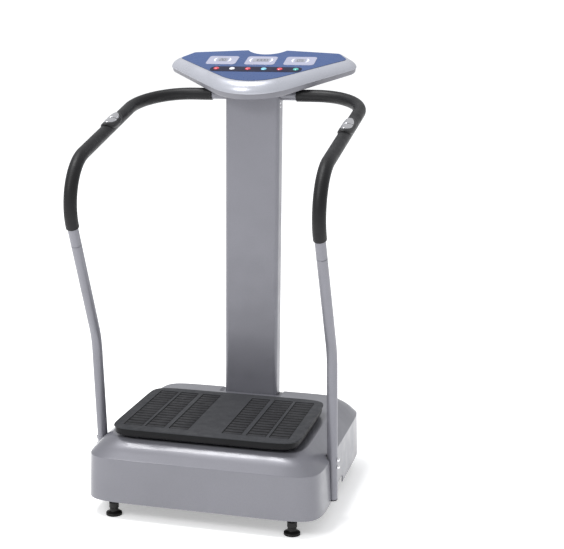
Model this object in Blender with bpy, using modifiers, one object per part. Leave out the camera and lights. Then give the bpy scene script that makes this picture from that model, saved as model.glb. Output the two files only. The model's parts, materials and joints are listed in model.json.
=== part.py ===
"""Vibration plate (gym machine): a rocking platform on a covered base, with a column, console and two handles.

Metres, +Z up, +X to the user's right when facing the console, +Y to the rear. The floor is z = 0.
The user stands on the platform facing +Y. The platform rocks about a front-to-rear shaft: a belt-driven
shaft under it carries two eccentrics half a turn apart, and each one works a connecting rod.
"""

import math

import bmesh
import bpy
from mathutils import Matrix, Vector

GAP = 0.0003  # between pieces that touch
WALL = 0.003  # moulded shells
SIDES = ((-1, "left"), (1, "right"))

# Base. Y positions on the machine are measured from the base's own centre.
BASE_Y = -0.0251
BASE_HALF_WIDTH = 0.3333
BASE_HALF_DEPTH = 0.3239
BASE_DRAFT = 0.004  # how far each side leans in between its bottom edge and the crease
SKIRT_BOTTOM = 0.0496
CREASE_Z = 0.1736
SHOULDER = (0.0231, 0.0200, 0.0265)  # the bevel's middle: in from the crease's sides and ends, and up
PLATEAU_Z = 0.2208
PLATEAU_HALF_WIDTH = 0.278
PLATEAU_HALF_DEPTH = 0.274
OUTLINE_POWER = 10
OUTLINE_POINTS = 48
PLATEAU_CUT_HALF = (0.190, 0.130)
POCKET_HALF = 0.097
POCKET_DEPTH = 0.007
NOTCH_Y = (BASE_Y - 0.065, BASE_Y + 0.005)
NOTCH_TOP = 0.072

# Steel frame of channel rails, open below.
RAIL_BOTTOM = 0.060
RAIL_TOP = 0.090
RAIL_HALF = 0.015
FOOT_X = 0.2527
FOOT_Y = 0.287
INNER_RAIL_X = 0.105

# Levelling feet.
PAD_RADIUS = 0.0225
COLLAR_RADIUS = 0.0135
COLLAR_TOP = 0.037
STEM_RADIUS = 0.005

# Platform.
PLATE_Y = BASE_Y - 0.0918
PLATE_HALF_WIDTH = 0.2627
PLATE_HALF_DEPTH = 0.199
PLATE_POWER = 11
PLATE_BOTTOM = 0.2297
MAT_BOTTOM = 0.2500
MAT_TOP = 0.2537

# Drive under the platform.
PIVOT_Z = 0.188
PIVOT_RADIUS = 0.010
PEDESTAL_Y = 0.140
HANGER_Y = 0.110
CRANK_Z = 0.115
CRANK_RADIUS = 0.010
ECCENTRIC_X = 0.145
ECCENTRIC_THROW = 0.0028
ECCENTRIC_RADIUS = 0.018
ROD_TOP_Z = 0.200
BEARING_X = INNER_RAIL_X
PULLEY_X = 0.055
PULLEY_HALF_WIDTH = 0.011
PULLEY_RADIUS = 0.045
MOTOR_Y = BASE_Y + 0.130
MOTOR_Z = 0.145
MOTOR_RADIUS = 0.045
MOTOR_PULLEY_RADIUS = 0.022
BELT_THICKNESS = 0.0025

# Column.
COLUMN_Y = BASE_Y + 0.260
COLUMN_WIDTH = 0.1625
COLUMN_DEPTH = 0.055
COLUMN_CORNER = 0.012
COLUMN_WALL = 0.002
COLUMN_TOP = 1.158
CABLE_Y = COLUMN_Y + 0.0195
CABLE_EXIT_Z = 0.126

# Handles: a bent tube on each side, from the column round to the base. Corners are those of the right one.
TUBE_RADIUS = 0.0145
TUBE_WALL = 0.0016
FOAM_RADIUS = 0.0178
STUB_END_X = 0.127
HANDLE_TOP = Vector((0.338, COLUMN_Y, 1.1215))
HANDLE_BEND = Vector((0.3265, BASE_Y - 0.4222, 0.959))
HANDLE_KNEE = Vector((0.333, BASE_Y - 0.1887, 0.476))
HANDLE_FOOT = Vector((0.333, BASE_Y - 0.1442, 0.056))
TOP_BEND_RADIUS = 0.150
GRIP_BEND_RADIUS = 0.130
KNEE_RADIUS = 0.213
FOAM_END_Z = 0.812
SEAM_Z = 0.762
HANDLE_BOLT_Z = (0.1523, 0.1735)
BOLT_HOLE_RADIUS = 0.0046
GROOVE_HALF = 0.0185
GROOVE_X = 0.3175
BRACKET_TOP = 0.183

# Power inlet and its rocker switch, on the rear.
INLET_CENTRE = Vector((-0.150, BASE_Y + BASE_HALF_DEPTH, 0.122))
ROCKER_PIVOT = INLET_CENTRE + Vector((0, 0.0010, 0.01275))
ROCKER_TILT = math.radians(8)

# Pulse sensors on the grips.
SENSOR_Y = BASE_Y - 0.040
SENSOR_LENGTH = 0.112
SENSOR_RADIUS = 0.0228

# Console, in its own frame: x to the right, s up the sloping panel, n out of it.
CONSOLE_TILT = math.radians(18.7)
CONSOLE_ORIGIN = Vector((0, BASE_Y + 0.2747, 1.1946))
# Corners (x, s, radius) of the right half, from the front point round to the rear notch.
PANEL_CORNERS = ((0, -0.1337, 0.1395), (0.256, 0.083, 0.012), (0.224, 0.130, 0.012), (0.0595, 0.152, 0.003))
RIM_CORNERS = ((0, -0.1808, 0.1755), (0.296, 0.0747, 0.030), (0.236, 0.142, 0.018), (0.0625, 0.158, 0.004))
NOTCH_CORNER = (0, 0.066, 0.0687)
RIM_DROP = 0.022
RIM_MIDDLE = (0.62, -0.009)  # the rim's bulge: how far out from the panel's edge, and its height
CONSOLE_DEPTH = 0.040
UNDERSIDE_SLOPE = 0.034  # the lower shell is deeper at the front than at the rear
WINDOW_PITCH = 0.119
WINDOW_SIZE = (0.093, 0.066)
WINDOW_S = 0.066
BUTTON_PITCH = 0.048
BUTTON_RADIUS = 0.0085
BUTTON_COLOURS = ("red", "white", "red", "cyan", "red", "green")


def clear_scene():
    for thing in list(bpy.data.objects):
        bpy.data.objects.remove(thing, do_unlink=True)


def new_collection(name, parent=None):
    made = bpy.data.collections.new(name)
    (parent or bpy.context.scene.collection).children.link(made)
    return made


def helper_group(name):
    """A collection for the cutters, or the joined shapes, of one piece."""
    home = bpy.data.collections.get("cutters") or new_collection("cutters")
    home.hide_render = True
    return new_collection(name, home)


def material(name, colour, roughness, metallic=0.0):
    made = bpy.data.materials.new(name)
    made.use_nodes = True
    shader = made.node_tree.nodes["Principled BSDF"]
    shader.inputs["Base Color"].default_value = (*colour, 1.0)
    shader.inputs["Roughness"].default_value = roughness
    shader.inputs["Metallic"].default_value = metallic
    made.diffuse_color = (*colour, 1.0)
    return made


def make_object(name, mesh, home, finish=None):
    made = bpy.data.objects.new(name, mesh)
    home.objects.link(made)
    if finish:
        mesh.materials.append(finish)
        mesh.shade_smooth()
        mesh.set_sharp_from_angle(angle=math.radians(35))
    return made


def mesh_from(bm, name):
    bmesh.ops.recalc_face_normals(bm, faces=bm.faces[:])
    mesh = bpy.data.meshes.new(name)
    bm.to_mesh(mesh)
    bm.free()
    return mesh


def helper(name, mesh, home):
    """A cutter, or a shape that is joined to another: it isn't rendered."""
    made = make_object(name, mesh, home)
    made.hide_render = True
    made.display_type = "WIRE"
    return made


def boolean(target, kind, other):
    """Cuts or joins with an object, or with all the objects of a collection."""
    step = target.modifiers.new(kind.lower(), "BOOLEAN")
    step.operation = kind
    step.solver = "EXACT"
    if isinstance(other, bpy.types.Collection):
        step.operand_type = "COLLECTION"
        step.collection = other
    else:
        step.object = other


def box_mesh(low, high):
    low = Vector(low)
    high = Vector(high)
    bm = bmesh.new()
    place = Matrix.Translation((low + high) / 2) @ Matrix.Diagonal((*(high - low), 1))
    bmesh.ops.create_cube(bm, size=1, matrix=place)
    return mesh_from(bm, "box")


def rod_mesh(start, end, radius, segments=20):
    """A cylinder from start to end."""
    start = Vector(start)
    end = Vector(end)
    turn = (end - start).to_track_quat("Z", "Y").to_matrix().to_4x4()
    bm = bmesh.new()
    bmesh.ops.create_cone(
        bm,
        cap_ends=True,
        segments=segments,
        radius1=radius,
        radius2=radius,
        depth=(end - start).length,
        matrix=Matrix.Translation((start + end) / 2) @ turn,
    )
    return mesh_from(bm, "rod")


def turned(name, profile, home, finish, segments=14):
    """A solid of revolution about Z from (radius, height) points that run down its outside."""
    mesh = bpy.data.meshes.new(name)
    edges = [(k, k + 1) for k in range(len(profile) - 1)]
    mesh.from_pydata([(r, 0, z) for r, z in profile], edges, [])
    made = make_object(name, mesh, home, finish)
    spin = made.modifiers.new("turn", "SCREW")
    spin.steps = segments
    spin.render_steps = segments
    spin.use_merge_vertices = True
    spin.merge_threshold = 0.00001
    return made


def superellipse(half_width, half_depth, power, z, centre_y):
    """A ring of points: a rectangle with bowed sides and rounded corners."""
    ring = []
    for k in range(OUTLINE_POINTS):
        turn = 2 * math.pi * (k + 0.5) / OUTLINE_POINTS
        c = math.cos(turn)
        s = math.sin(turn)
        x = half_width * math.copysign(abs(c) ** (2 / power), c)
        y = half_depth * math.copysign(abs(s) ** (2 / power), s)
        ring.append(Vector((x, centre_y + y, z)))
    return ring


def loft_mesh(rings):
    """A closed solid through rings with the same number of points."""
    bm = bmesh.new()
    loops = [[bm.verts.new(p) for p in ring] for ring in rings]
    for low, high in zip(loops, loops[1:]):
        for k in range(len(low)):
            j = (k + 1) % len(low)
            bm.faces.new((low[k], low[j], high[j], high[k]))
    bm.faces.new(loops[0])
    bm.faces.new(loops[-1])
    return mesh_from(bm, "loft")


def rounded_corners(corners, steps=5):
    """The points of a closed polygon whose corners (x, y, radius) are rounded by arcs."""
    points = []
    count = len(corners)
    for k, (x, y, radius) in enumerate(corners):
        here = Vector((x, y))
        back = (Vector(corners[k - 1][:2]) - here).normalized()
        ahead = (Vector(corners[(k + 1) % count][:2]) - here).normalized()
        room = 0.97 * min((Vector(corners[j][:2]) - here).length for j in (k - 1, (k + 1) % count))
        radius = min(radius, room * math.tan(back.angle(ahead) / 2))
        points += arc_points(here, back, ahead, radius, steps)
    return points


def arc_points(here, back, ahead, radius, steps):
    """Points of the arc that rounds a corner, given the unit directions to its neighbours."""
    half = back.angle(ahead) / 2
    centre = here + (back + ahead).normalized() * (radius / math.sin(half))
    first = here + back * (radius / math.tan(half)) - centre
    last = here + ahead * (radius / math.tan(half)) - centre
    sweep = first.angle(last)
    arc = []
    for j in range(steps + 1):
        part = j / steps
        blend = first * math.sin((1 - part) * sweep) + last * math.sin(part * sweep)
        arc.append(centre + blend / math.sin(sweep))
    return arc


def rounded_path(corners, steps=6):
    """An open path in space through (point, radius) corners; the first and last have no radius."""
    points = [Vector(corners[0][0])]
    for before, (corner, radius), after in zip(corners, corners[1:], corners[2:]):
        here = Vector(corner)
        back = (Vector(before[0]) - here).normalized()
        ahead = (Vector(after[0]) - here).normalized()
        points += arc_points(here, back, ahead, radius, steps)
    points.append(Vector(corners[-1][0]))
    return points


def mesh_of_curve(curve_object):
    """The mesh of a curve object, with its caps welded on; the curve is removed."""
    bpy.context.view_layer.update()
    graph = bpy.context.evaluated_depsgraph_get()
    mesh = bpy.data.meshes.new_from_object(curve_object.evaluated_get(graph))
    bm = bmesh.new()
    bm.from_mesh(mesh)
    bmesh.ops.transform(bm, matrix=curve_object.matrix_world, verts=bm.verts[:])
    bmesh.ops.remove_doubles(bm, verts=bm.verts[:], dist=0.000001)
    bpy.data.objects.remove(curve_object)
    bpy.data.meshes.remove(mesh)
    return mesh_from(bm, "curve")


def poly_curve(name, loops, closed, home, dimensions):
    curve = bpy.data.curves.new(name, "CURVE")
    curve.dimensions = dimensions
    for loop in loops:
        spline = curve.splines.new("POLY")
        spline.points.add(len(loop) - 1)
        spline.use_cyclic_u = closed
        for point, place in zip(spline.points, loop):
            point.co = (place[0], place[1], place[2] if dimensions == "3D" else 0, 1)
    made = bpy.data.objects.new(name, curve)
    home.objects.link(made)
    return made


def tube_mesh(path, radius, home, capped=True, sides=10):
    guide = poly_curve("guide", [path], False, home, "3D")
    guide.data.bevel_depth = radius
    guide.data.bevel_resolution = (sides - 4) // 2
    guide.data.use_fill_caps = capped
    return mesh_of_curve(guide)


def pipe(name, path, radius, wall, home, finish):
    """A hollow tube, open at both ends."""
    made = make_object(name, tube_mesh(path, radius, home, capped=False), home, finish)
    shell = made.modifiers.new("wall", "SOLIDIFY")
    shell.thickness = wall
    shell.offset = -1
    return made


def slab_mesh(loops, low, high, home, turn=None):
    """A flat plate between two heights, from an outline and its holes, turned by an optional matrix."""
    guide = poly_curve("outline", loops, True, home, "2D")
    guide.data.fill_mode = "BOTH"
    guide.data.extrude = (high - low) / 2
    guide.matrix_world = (turn or Matrix()) @ Matrix.Translation((0, 0, (low + high) / 2))
    return mesh_of_curve(guide)


def circle(x, y, radius, segments=14):
    turns = [2 * math.pi * k / segments for k in range(segments)]
    return [Vector((x + radius * math.cos(a), y + radius * math.sin(a))) for a in turns]


def rounded_rectangle(width, height, radius, x=0, y=0, steps=3):
    half = (width / 2, height / 2)
    signs = ((1, -1), (1, 1), (-1, 1), (-1, -1))
    return rounded_corners([(x + a * half[0], y + b * half[1], radius) for a, b in signs], steps)


def grown_corners(corners, distance):
    """The corners (x, y, radius) of an anticlockwise outline, moved outward, or inward if negative."""
    grown = []
    count = len(corners)
    for k, (x, y, radius) in enumerate(corners):
        here = Vector((x, y))
        along = (here - Vector(corners[k - 1][:2])).normalized()
        ahead = (Vector(corners[(k + 1) % count][:2]) - here).normalized()
        bend = along.x * ahead.y - along.y * ahead.x
        corner = here + (along - ahead) * (distance / bend)
        wider = radius + math.copysign(1, bend) * distance
        grown.append((corner.x, corner.y, max(0.0015, wider)))
    return grown


def on_run(upper, lower, z):
    """The point at a height on the straight run between two of the handle's corners."""
    return lower.lerp(upper, (z - lower.z) / (upper.z - lower.z))


def mirrored(point, side):
    return Vector((side * point.x, point.y, point.z))


def bolt_holes(name, side, word, inner, outer, home):
    """Cutters for the two handle bolts, along X from inner to outer."""
    for k, z in enumerate(HANDLE_BOLT_Z):
        y = on_run(HANDLE_KNEE, HANDLE_FOOT, z).y
        rod = rod_mesh((side * inner, y, z), (side * outer, y, z), BOLT_HOLE_RADIUS, 12)
        helper(f"{name}_bolt_hole_{word}_{k}", rod, home)


# ---------------------------------------------------------------- base


def cover_rings(inset, bottom):
    """The cover's outline at its bottom edge, its crease, the middle of its bevel and its flat top."""
    width = BASE_HALF_WIDTH - BASE_DRAFT
    depth = BASE_HALF_DEPTH
    rings = (
        (BASE_HALF_WIDTH, depth, bottom),
        (width, depth, CREASE_Z - inset / 2),
        (width - SHOULDER[0], depth - SHOULDER[1], CREASE_Z + SHOULDER[2] - inset / 2),
        (PLATEAU_HALF_WIDTH, PLATEAU_HALF_DEPTH, PLATEAU_Z - inset),
    )
    return [superellipse(w - inset, d - inset, OUTLINE_POWER, z, BASE_Y) for w, d, z in rings]


def groove_mesh(side, grow):
    """The upright groove that the handle's foot stands in. It leans as the handle does."""
    inner = side * (GROOVE_X - grow)
    outer = side * 0.40
    half = GROOVE_HALF + grow
    rings = []
    for z in (0.02, 0.30):
        y = on_run(HANDLE_KNEE, HANDLE_FOOT, z).y
        rings.append([Vector((inner, y - half, z)), Vector((outer, y - half, z)),
                      Vector((outer, y + half, z)), Vector((inner, y + half, z))])
    return loft_mesh(rings)


def pocket_mesh(grow):
    """The shallow pocket round the column, with walls at 45 degrees, open to the rear."""
    low = PLATEAU_Z - POCKET_DEPTH - grow
    shift = grow * (math.sqrt(2) - 1)
    rings = []
    for climb in (0, 0.05):
        x = POCKET_HALF - POCKET_DEPTH + shift + climb
        y = COLUMN_Y - COLUMN_DEPTH / 2 - 0.003 - shift - climb
        z = low + climb
        rings.append([Vector((-x, y, z)), Vector((x, y, z)), Vector((x, 0.40, z)), Vector((-x, 0.40, z))])
    return loft_mesh(rings)


def cover_recesses(grow, home):
    """The groove for each handle's foot, and the shallow pocket round the column."""
    for side, word in SIDES:
        helper("handle_groove_" + word, groove_mesh(side, grow), home)
    helper("column_pocket", pocket_mesh(grow), home)


def cover_openings(home):
    """Through-openings: platform drive, column, handle bolts, power inlet and the lifting notches."""
    half_x, half_y = PLATEAU_CUT_HALF
    low = (-half_x, PLATE_Y - half_y, 0.20)
    helper("platform_opening", box_mesh(low, (half_x, PLATE_Y + half_y, 0.25)), home)
    outline = rounded_rectangle(COLUMN_WIDTH + 0.002, COLUMN_DEPTH + 0.002, COLUMN_CORNER, 0, COLUMN_Y)
    helper("column_opening", slab_mesh([outline], 0.16, 0.25, home), home)
    inlet = INLET_CENTRE
    low = (inlet.x - 0.0145, inlet.y - 0.02, inlet.z - 0.0255)
    high = (inlet.x + 0.0145, inlet.y + 0.02, inlet.z + 0.0255)
    helper("inlet_opening", box_mesh(low, high), home)
    for side, word in SIDES:
        bolt_holes("cover", side, word, 0.30, 0.34, home)
        ends = sorted((side * 0.30, side * 0.36))
        low = (ends[0], NOTCH_Y[0], 0.02)
        helper("lifting_notch_" + word, box_mesh(low, (ends[1], NOTCH_Y[1], NOTCH_TOP)), home)


def build_cover(parts, finish):
    recesses = helper_group("cover_recesses")
    cover_recesses(0, recesses)
    grown = helper_group("cover_recesses_inside")
    cover_recesses(WALL, grown)
    openings = helper_group("cover_openings")
    cover_openings(openings)
    hollow = loft_mesh(cover_rings(WALL, SKIRT_BOTTOM - 0.01))
    inside = helper("cover_inside", hollow, helper_group("cover_hollow"))
    boolean(inside, "DIFFERENCE", grown)
    cover = make_object("base_cover", loft_mesh(cover_rings(0, SKIRT_BOTTOM)), parts, finish)
    boolean(cover, "DIFFERENCE", recesses)
    boolean(cover, "DIFFERENCE", inside)
    boolean(cover, "DIFFERENCE", openings)


def channel(name, low, high, outside, grooves):
    """A rail between two (x, y) corners: an upturned channel, so its groove is open below."""
    helper(name, box_mesh((*low, RAIL_BOTTOM), (*high, RAIL_TOP)), outside)
    low_in = (low[0] + WALL, low[1] + WALL, RAIL_BOTTOM - 0.005)
    high_in = (high[0] - WALL, high[1] - WALL, RAIL_TOP - WALL)
    helper(name + "_groove", box_mesh(low_in, high_in), grooves)


def frame_rails(outside, grooves):
    x = FOOT_X + RAIL_HALF
    y = FOOT_Y + RAIL_HALF
    for side, word in SIDES:
        centre = side * FOOT_X
        low = (centre - RAIL_HALF, BASE_Y - y + 0.0005)
        channel("side_rail_" + word, low, (centre + RAIL_HALF, BASE_Y + y - 0.0005), outside, grooves)
        centre = side * INNER_RAIL_X
        low = (centre - RAIL_HALF, BASE_Y - FOOT_Y)
        channel("inner_rail_" + word, low, (centre + RAIL_HALF, BASE_Y + FOOT_Y), outside, grooves)
    for side, word in ((-1, "front"), (1, "rear")):
        centre = BASE_Y + side * FOOT_Y
        channel(word + "_rail", (-x, centre - RAIL_HALF), (x, centre + RAIL_HALF), outside, grooves)
        pedestal = PLATE_Y + side * PEDESTAL_Y
        channel(word + "_cross_rail", (-0.112, pedestal - 0.014), (0.112, pedestal + 0.014), outside, grooves)
        low = (-0.022, pedestal - 0.006, RAIL_TOP - 0.002)
        helper(word + "_pedestal", box_mesh(low, (0.022, pedestal + 0.006, 0.205)), outside)
    front = COLUMN_Y - COLUMN_DEPTH / 2
    channel("column_cross_rail", (-0.112, front - 0.020), (0.112, front + 0.008), outside, grooves)
    low = (-0.112, MOTOR_Y - 0.050, RAIL_TOP - 0.0015)
    helper("motor_plate", box_mesh(low, (0.112, MOTOR_Y + 0.045, RAIL_TOP + 0.0025)), outside)


def frame_brackets(outside):
    """The upright plate that each handle's foot is bolted to, on its outrigger."""
    y = on_run(HANDLE_KNEE, HANDLE_FOOT, sum(HANDLE_BOLT_Z) / 2).y
    face = GROOVE_X - WALL - 0.0005
    for side, word in SIDES:
        ends = sorted((side * (face - 0.006), side * face))
        low = (ends[0], y - 0.017, 0.063)
        helper("handle_bracket_" + word, box_mesh(low, (ends[1], y + 0.017, BRACKET_TOP)), outside)
        ends = sorted((side * (FOOT_X + 0.012), side * (face - 0.001)))
        low = (ends[0], y - 0.016, 0.078)
        helper("outrigger_" + word, box_mesh(low, (ends[1], y + 0.016, 0.086)), outside)


def frame_holes(bosses, holes):
    """Threaded bosses for the levelling feet, the pivot shaft's bores and the handle bolts' holes."""
    for side, word in SIDES:
        for end, way in ((-1, "front"), (1, "rear")):
            x = side * FOOT_X
            y = BASE_Y + end * FOOT_Y
            name = f"foot_{way}_{word}"
            helper(name + "_boss", rod_mesh((x, y, 0.061), (x, y, 0.0885), 0.009, 10), bosses)
            helper(name + "_thread", rod_mesh((x, y, 0.05), (x, y, 0.12), STEM_RADIUS + 0.0004, 12), holes)
        bolt_holes("bracket", side, word, 0.30, 0.33, holes)
    start = (0, PLATE_Y - 0.20, PIVOT_Z)
    helper("pivot_bore", rod_mesh(start, (0, PLATE_Y + 0.20, PIVOT_Z), PIVOT_RADIUS + GAP, 24), holes)


def build_frame(parts, finish):
    outside = helper_group("frame_members")
    grooves = helper_group("frame_grooves")
    bosses = helper_group("frame_bosses")
    holes = helper_group("frame_holes")
    frame_rails(outside, grooves)
    frame_brackets(outside)
    frame_holes(bosses, holes)
    start = outside.objects["front_rail"]
    frame = make_object("base_frame", start.data.copy(), parts, finish)
    bpy.data.objects.remove(start)
    boolean(frame, "UNION", outside)
    boolean(frame, "DIFFERENCE", grooves)
    boolean(frame, "UNION", bosses)
    boolean(frame, "DIFFERENCE", holes)


def build_feet(parts, rubber, chrome):
    """Four levelling feet: a flared pad with a collar, on a threaded stem."""
    bore = STEM_RADIUS + GAP
    floor_of_bore = 0.011
    waist = COLLAR_RADIUS - 0.0015
    pad = [(0, floor_of_bore), (bore, floor_of_bore), (bore, COLLAR_TOP), (COLLAR_RADIUS - 0.001, COLLAR_TOP)]
    pad += [(COLLAR_RADIUS, COLLAR_TOP - 0.001), (COLLAR_RADIUS, 0.021), (waist, 0.018)]
    pad += [(waist + 0.001, 0.0125), (PAD_RADIUS - 0.001, 0.0065), (PAD_RADIUS, 0.005)]
    pad += [(PAD_RADIUS, 0.001), (PAD_RADIUS - 0.001, 0), (0, 0)]
    low = floor_of_bore + GAP
    stem = [(0, 0.098), (STEM_RADIUS - 0.001, 0.098), (STEM_RADIUS, 0.097), (STEM_RADIUS, low), (0, low)]
    for side, word in SIDES:
        for end, way in ((-1, "front"), (1, "rear")):
            place = (side * FOOT_X, BASE_Y + end * FOOT_Y, 0)
            turned(f"foot_pad_{way}_{word}", pad, parts, rubber).location = place
            turned(f"foot_stem_{way}_{word}", stem, parts, chrome, 12).location = place


# ---------------------------------------------------------------- platform and drive


def build_platform(parts, finishes):
    steel, board, rubber = finishes["steel"], finishes["platform"], finishes["mat"]
    inset = 0.002
    rings = [
        superellipse(PLATE_HALF_WIDTH - inset - lip, PLATE_HALF_DEPTH - inset - lip, PLATE_POWER, z, PLATE_Y)
        for z, lip in ((PLATE_BOTTOM, 0.003), (PLATE_BOTTOM + 0.003, 0), (MAT_BOTTOM - GAP, 0))
    ]
    make_object("platform", loft_mesh(rings), parts, board)
    rings = [
        superellipse(PLATE_HALF_WIDTH - lip, PLATE_HALF_DEPTH - lip, PLATE_POWER, z, PLATE_Y)
        for z, lip in ((MAT_BOTTOM, 0), (MAT_TOP - 0.002, 0), (MAT_TOP, 0.002))
    ]
    make_object("rubber_mat", loft_mesh(rings), parts, rubber)

    members = helper_group("carrier_members")
    bores = helper_group("carrier_bores")
    top = PLATE_BOTTOM - GAP
    under = top - 0.006
    for end, way in ((-1, "front"), (1, "rear")):
        y = PLATE_Y + end * HANGER_Y
        hanger = box_mesh((-0.022, y - 0.008, 0.166), (0.022, y + 0.008, under + 0.001))
        helper("hanger_" + way, hanger, members)
        for side, word in SIDES:
            x = side * ECCENTRIC_X
            y = PLATE_Y + end * 0.016
            low = (x - 0.012, y - 0.003, ROD_TOP_Z - 0.012)
            helper(f"ear_{way}_{word}", box_mesh(low, (x + 0.012, y + 0.003, under + 0.001)), members)
    hanger_bore = rod_mesh((0, PLATE_Y - 0.14, PIVOT_Z), (0, PLATE_Y + 0.14, PIVOT_Z), 0.0156, 24)
    helper("hanger_bore", hanger_bore, bores)
    for side, word in SIDES:
        x = side * ECCENTRIC_X
        ends = ((x, PLATE_Y - 0.03, ROD_TOP_Z), (x, PLATE_Y + 0.03, ROD_TOP_Z))
        helper("ear_bore_" + word, rod_mesh(*ends, 0.0065, 16), bores)
    low = (-0.185, PLATE_Y - 0.125, under)
    carrier = make_object("plate_carrier", box_mesh(low, (0.185, PLATE_Y + 0.125, top)), parts, steel)
    boolean(carrier, "UNION", members)
    boolean(carrier, "DIFFERENCE", bores)


def ring_object(name, outline_radius, bore_radius, low, high, home, finish, matrix, segments=24):
    loops = [circle(0, 0, outline_radius, segments), circle(0, 0, bore_radius, segments)]
    return make_object(name, slab_mesh(loops, low, high, home, matrix), home, finish)


def facing_x(x, y, z):
    """Turns a shape's Z axis to lie along X, at a place."""
    return Matrix.Translation((x, y, z)) @ Matrix.Rotation(math.pi / 2, 4, "Y")


def facing_y(x, y, z):
    """Turns a shape's Z axis to lie along Y, at a place."""
    return Matrix.Translation((x, y, z)) @ Matrix.Rotation(-math.pi / 2, 4, "X")


def build_pivot(parts, finishes):
    """The fixed front-to-rear shaft that the platform rocks on, and its bearings."""
    half = PEDESTAL_Y + 0.010
    ends = ((0, PLATE_Y - half, PIVOT_Z), (0, PLATE_Y + half, PIVOT_Z))
    make_object("pivot_shaft", rod_mesh(*ends, PIVOT_RADIUS, 24), parts, finishes["bright_steel"])
    for end, way in ((-1, "front"), (1, "rear")):
        place = facing_y(0, PLATE_Y + end * HANGER_Y, PIVOT_Z)
        name = "pivot_bearing_" + way
        bore = PIVOT_RADIUS + 0.0004
        ring_object(name, 0.0152, bore, -0.009, 0.009, parts, finishes["bright_steel"], place)


def build_crank(parts, finishes):
    """The belt-driven shaft with its two eccentrics, half a turn apart and level at rest, and its pulley."""
    bright = finishes["bright_steel"]
    discs = helper_group("eccentrics")
    for side, word in SIDES:
        x = side * ECCENTRIC_X
        y = PLATE_Y - side * ECCENTRIC_THROW
        rod = rod_mesh((x - 0.010, y, CRANK_Z), (x + 0.010, y, CRANK_Z), ECCENTRIC_RADIUS, 20)
        helper("eccentric_" + word, rod, discs)
        place = facing_x(side * BEARING_X, PLATE_Y, CRANK_Z)
        disc = slab_mesh([circle(0, 0, 0.0235, 20)], -0.011, 0.011, parts, place)
        block = make_object("bearing_block_" + word, disc, parts, finishes["cast"])
        foot = helper_group("bearing_foot_" + word)
        centre = side * BEARING_X
        low = (centre - 0.012, PLATE_Y - 0.036, RAIL_TOP + GAP)
        helper("bearing_foot_box_" + word, box_mesh(low, (centre + 0.012, PLATE_Y + 0.036, 0.104)), foot)
        bore = helper_group("bearing_bore_" + word)
        ends = ((centre - 0.03, PLATE_Y, CRANK_Z), (centre + 0.03, PLATE_Y, CRANK_Z))
        helper("bearing_bore_rod_" + word, rod_mesh(*ends, CRANK_RADIUS + 0.0004, 24), bore)
        boolean(block, "UNION", foot)
        boolean(block, "DIFFERENCE", bore)
    ends = ((-0.163, PLATE_Y, CRANK_Z), (0.163, PLATE_Y, CRANK_Z))
    shaft = make_object("eccentric_shaft", rod_mesh(*ends, CRANK_RADIUS, 24), parts, bright)
    boolean(shaft, "UNION", discs)
    place = facing_x(PULLEY_X, PLATE_Y, CRANK_Z)
    half = PULLEY_HALF_WIDTH
    bore = CRANK_RADIUS + 0.0004
    ring_object("driven_pulley", PULLEY_RADIUS, bore, -half, half, parts, finishes["cast"], place, 32)


def build_rods(parts, finishes):
    """Connecting rods: a wide ring round the eccentric, a shank, and a cross pin in the carrier's ears."""
    for side, word in SIDES:
        x = side * ECCENTRIC_X
        extras = helper_group("rod_members_" + word)
        low = (x - 0.006, PLATE_Y - 0.008, CRANK_Z + 0.0262)
        helper("shank_" + word, box_mesh(low, (x + 0.006, PLATE_Y + 0.008, ROD_TOP_Z + 0.007)), extras)
        ends = ((x, PLATE_Y - 0.0215, ROD_TOP_Z), (x, PLATE_Y + 0.0215, ROD_TOP_Z))
        helper("cross_pin_" + word, rod_mesh(*ends, 0.006, 16), extras)
        place = facing_x(x, PLATE_Y, CRANK_Z)
        name = "connecting_rod_" + word
        rod = ring_object(name, 0.0305, 0.0245, -0.009, 0.009, parts, finishes["cast"], place)
        boolean(rod, "UNION", extras)


def belt_outline(grow):
    """A belt round the two pulleys, seen along X: the arcs and the straight runs between them."""
    large = Vector((PLATE_Y, CRANK_Z))
    small = Vector((MOTOR_Y, MOTOR_Z))
    big_radius = PULLEY_RADIUS + grow
    small_radius = MOTOR_PULLEY_RADIUS + grow
    span = small - large
    lean = math.atan2(span.y, span.x)
    wrap = math.acos((big_radius - small_radius) / span.length)
    points = []
    for centre, radius, first, last in (
        (small, small_radius, lean - wrap, lean + wrap),
        (large, big_radius, lean + wrap, lean - wrap + 2 * math.pi),
    ):
        step = (last - first) / 12
        reach = radius / math.cos(step / 2)
        for k in range(13):
            turn = first + step * k
            points.append(centre + Vector((math.cos(turn), math.sin(turn))) * reach)
    return points


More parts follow.
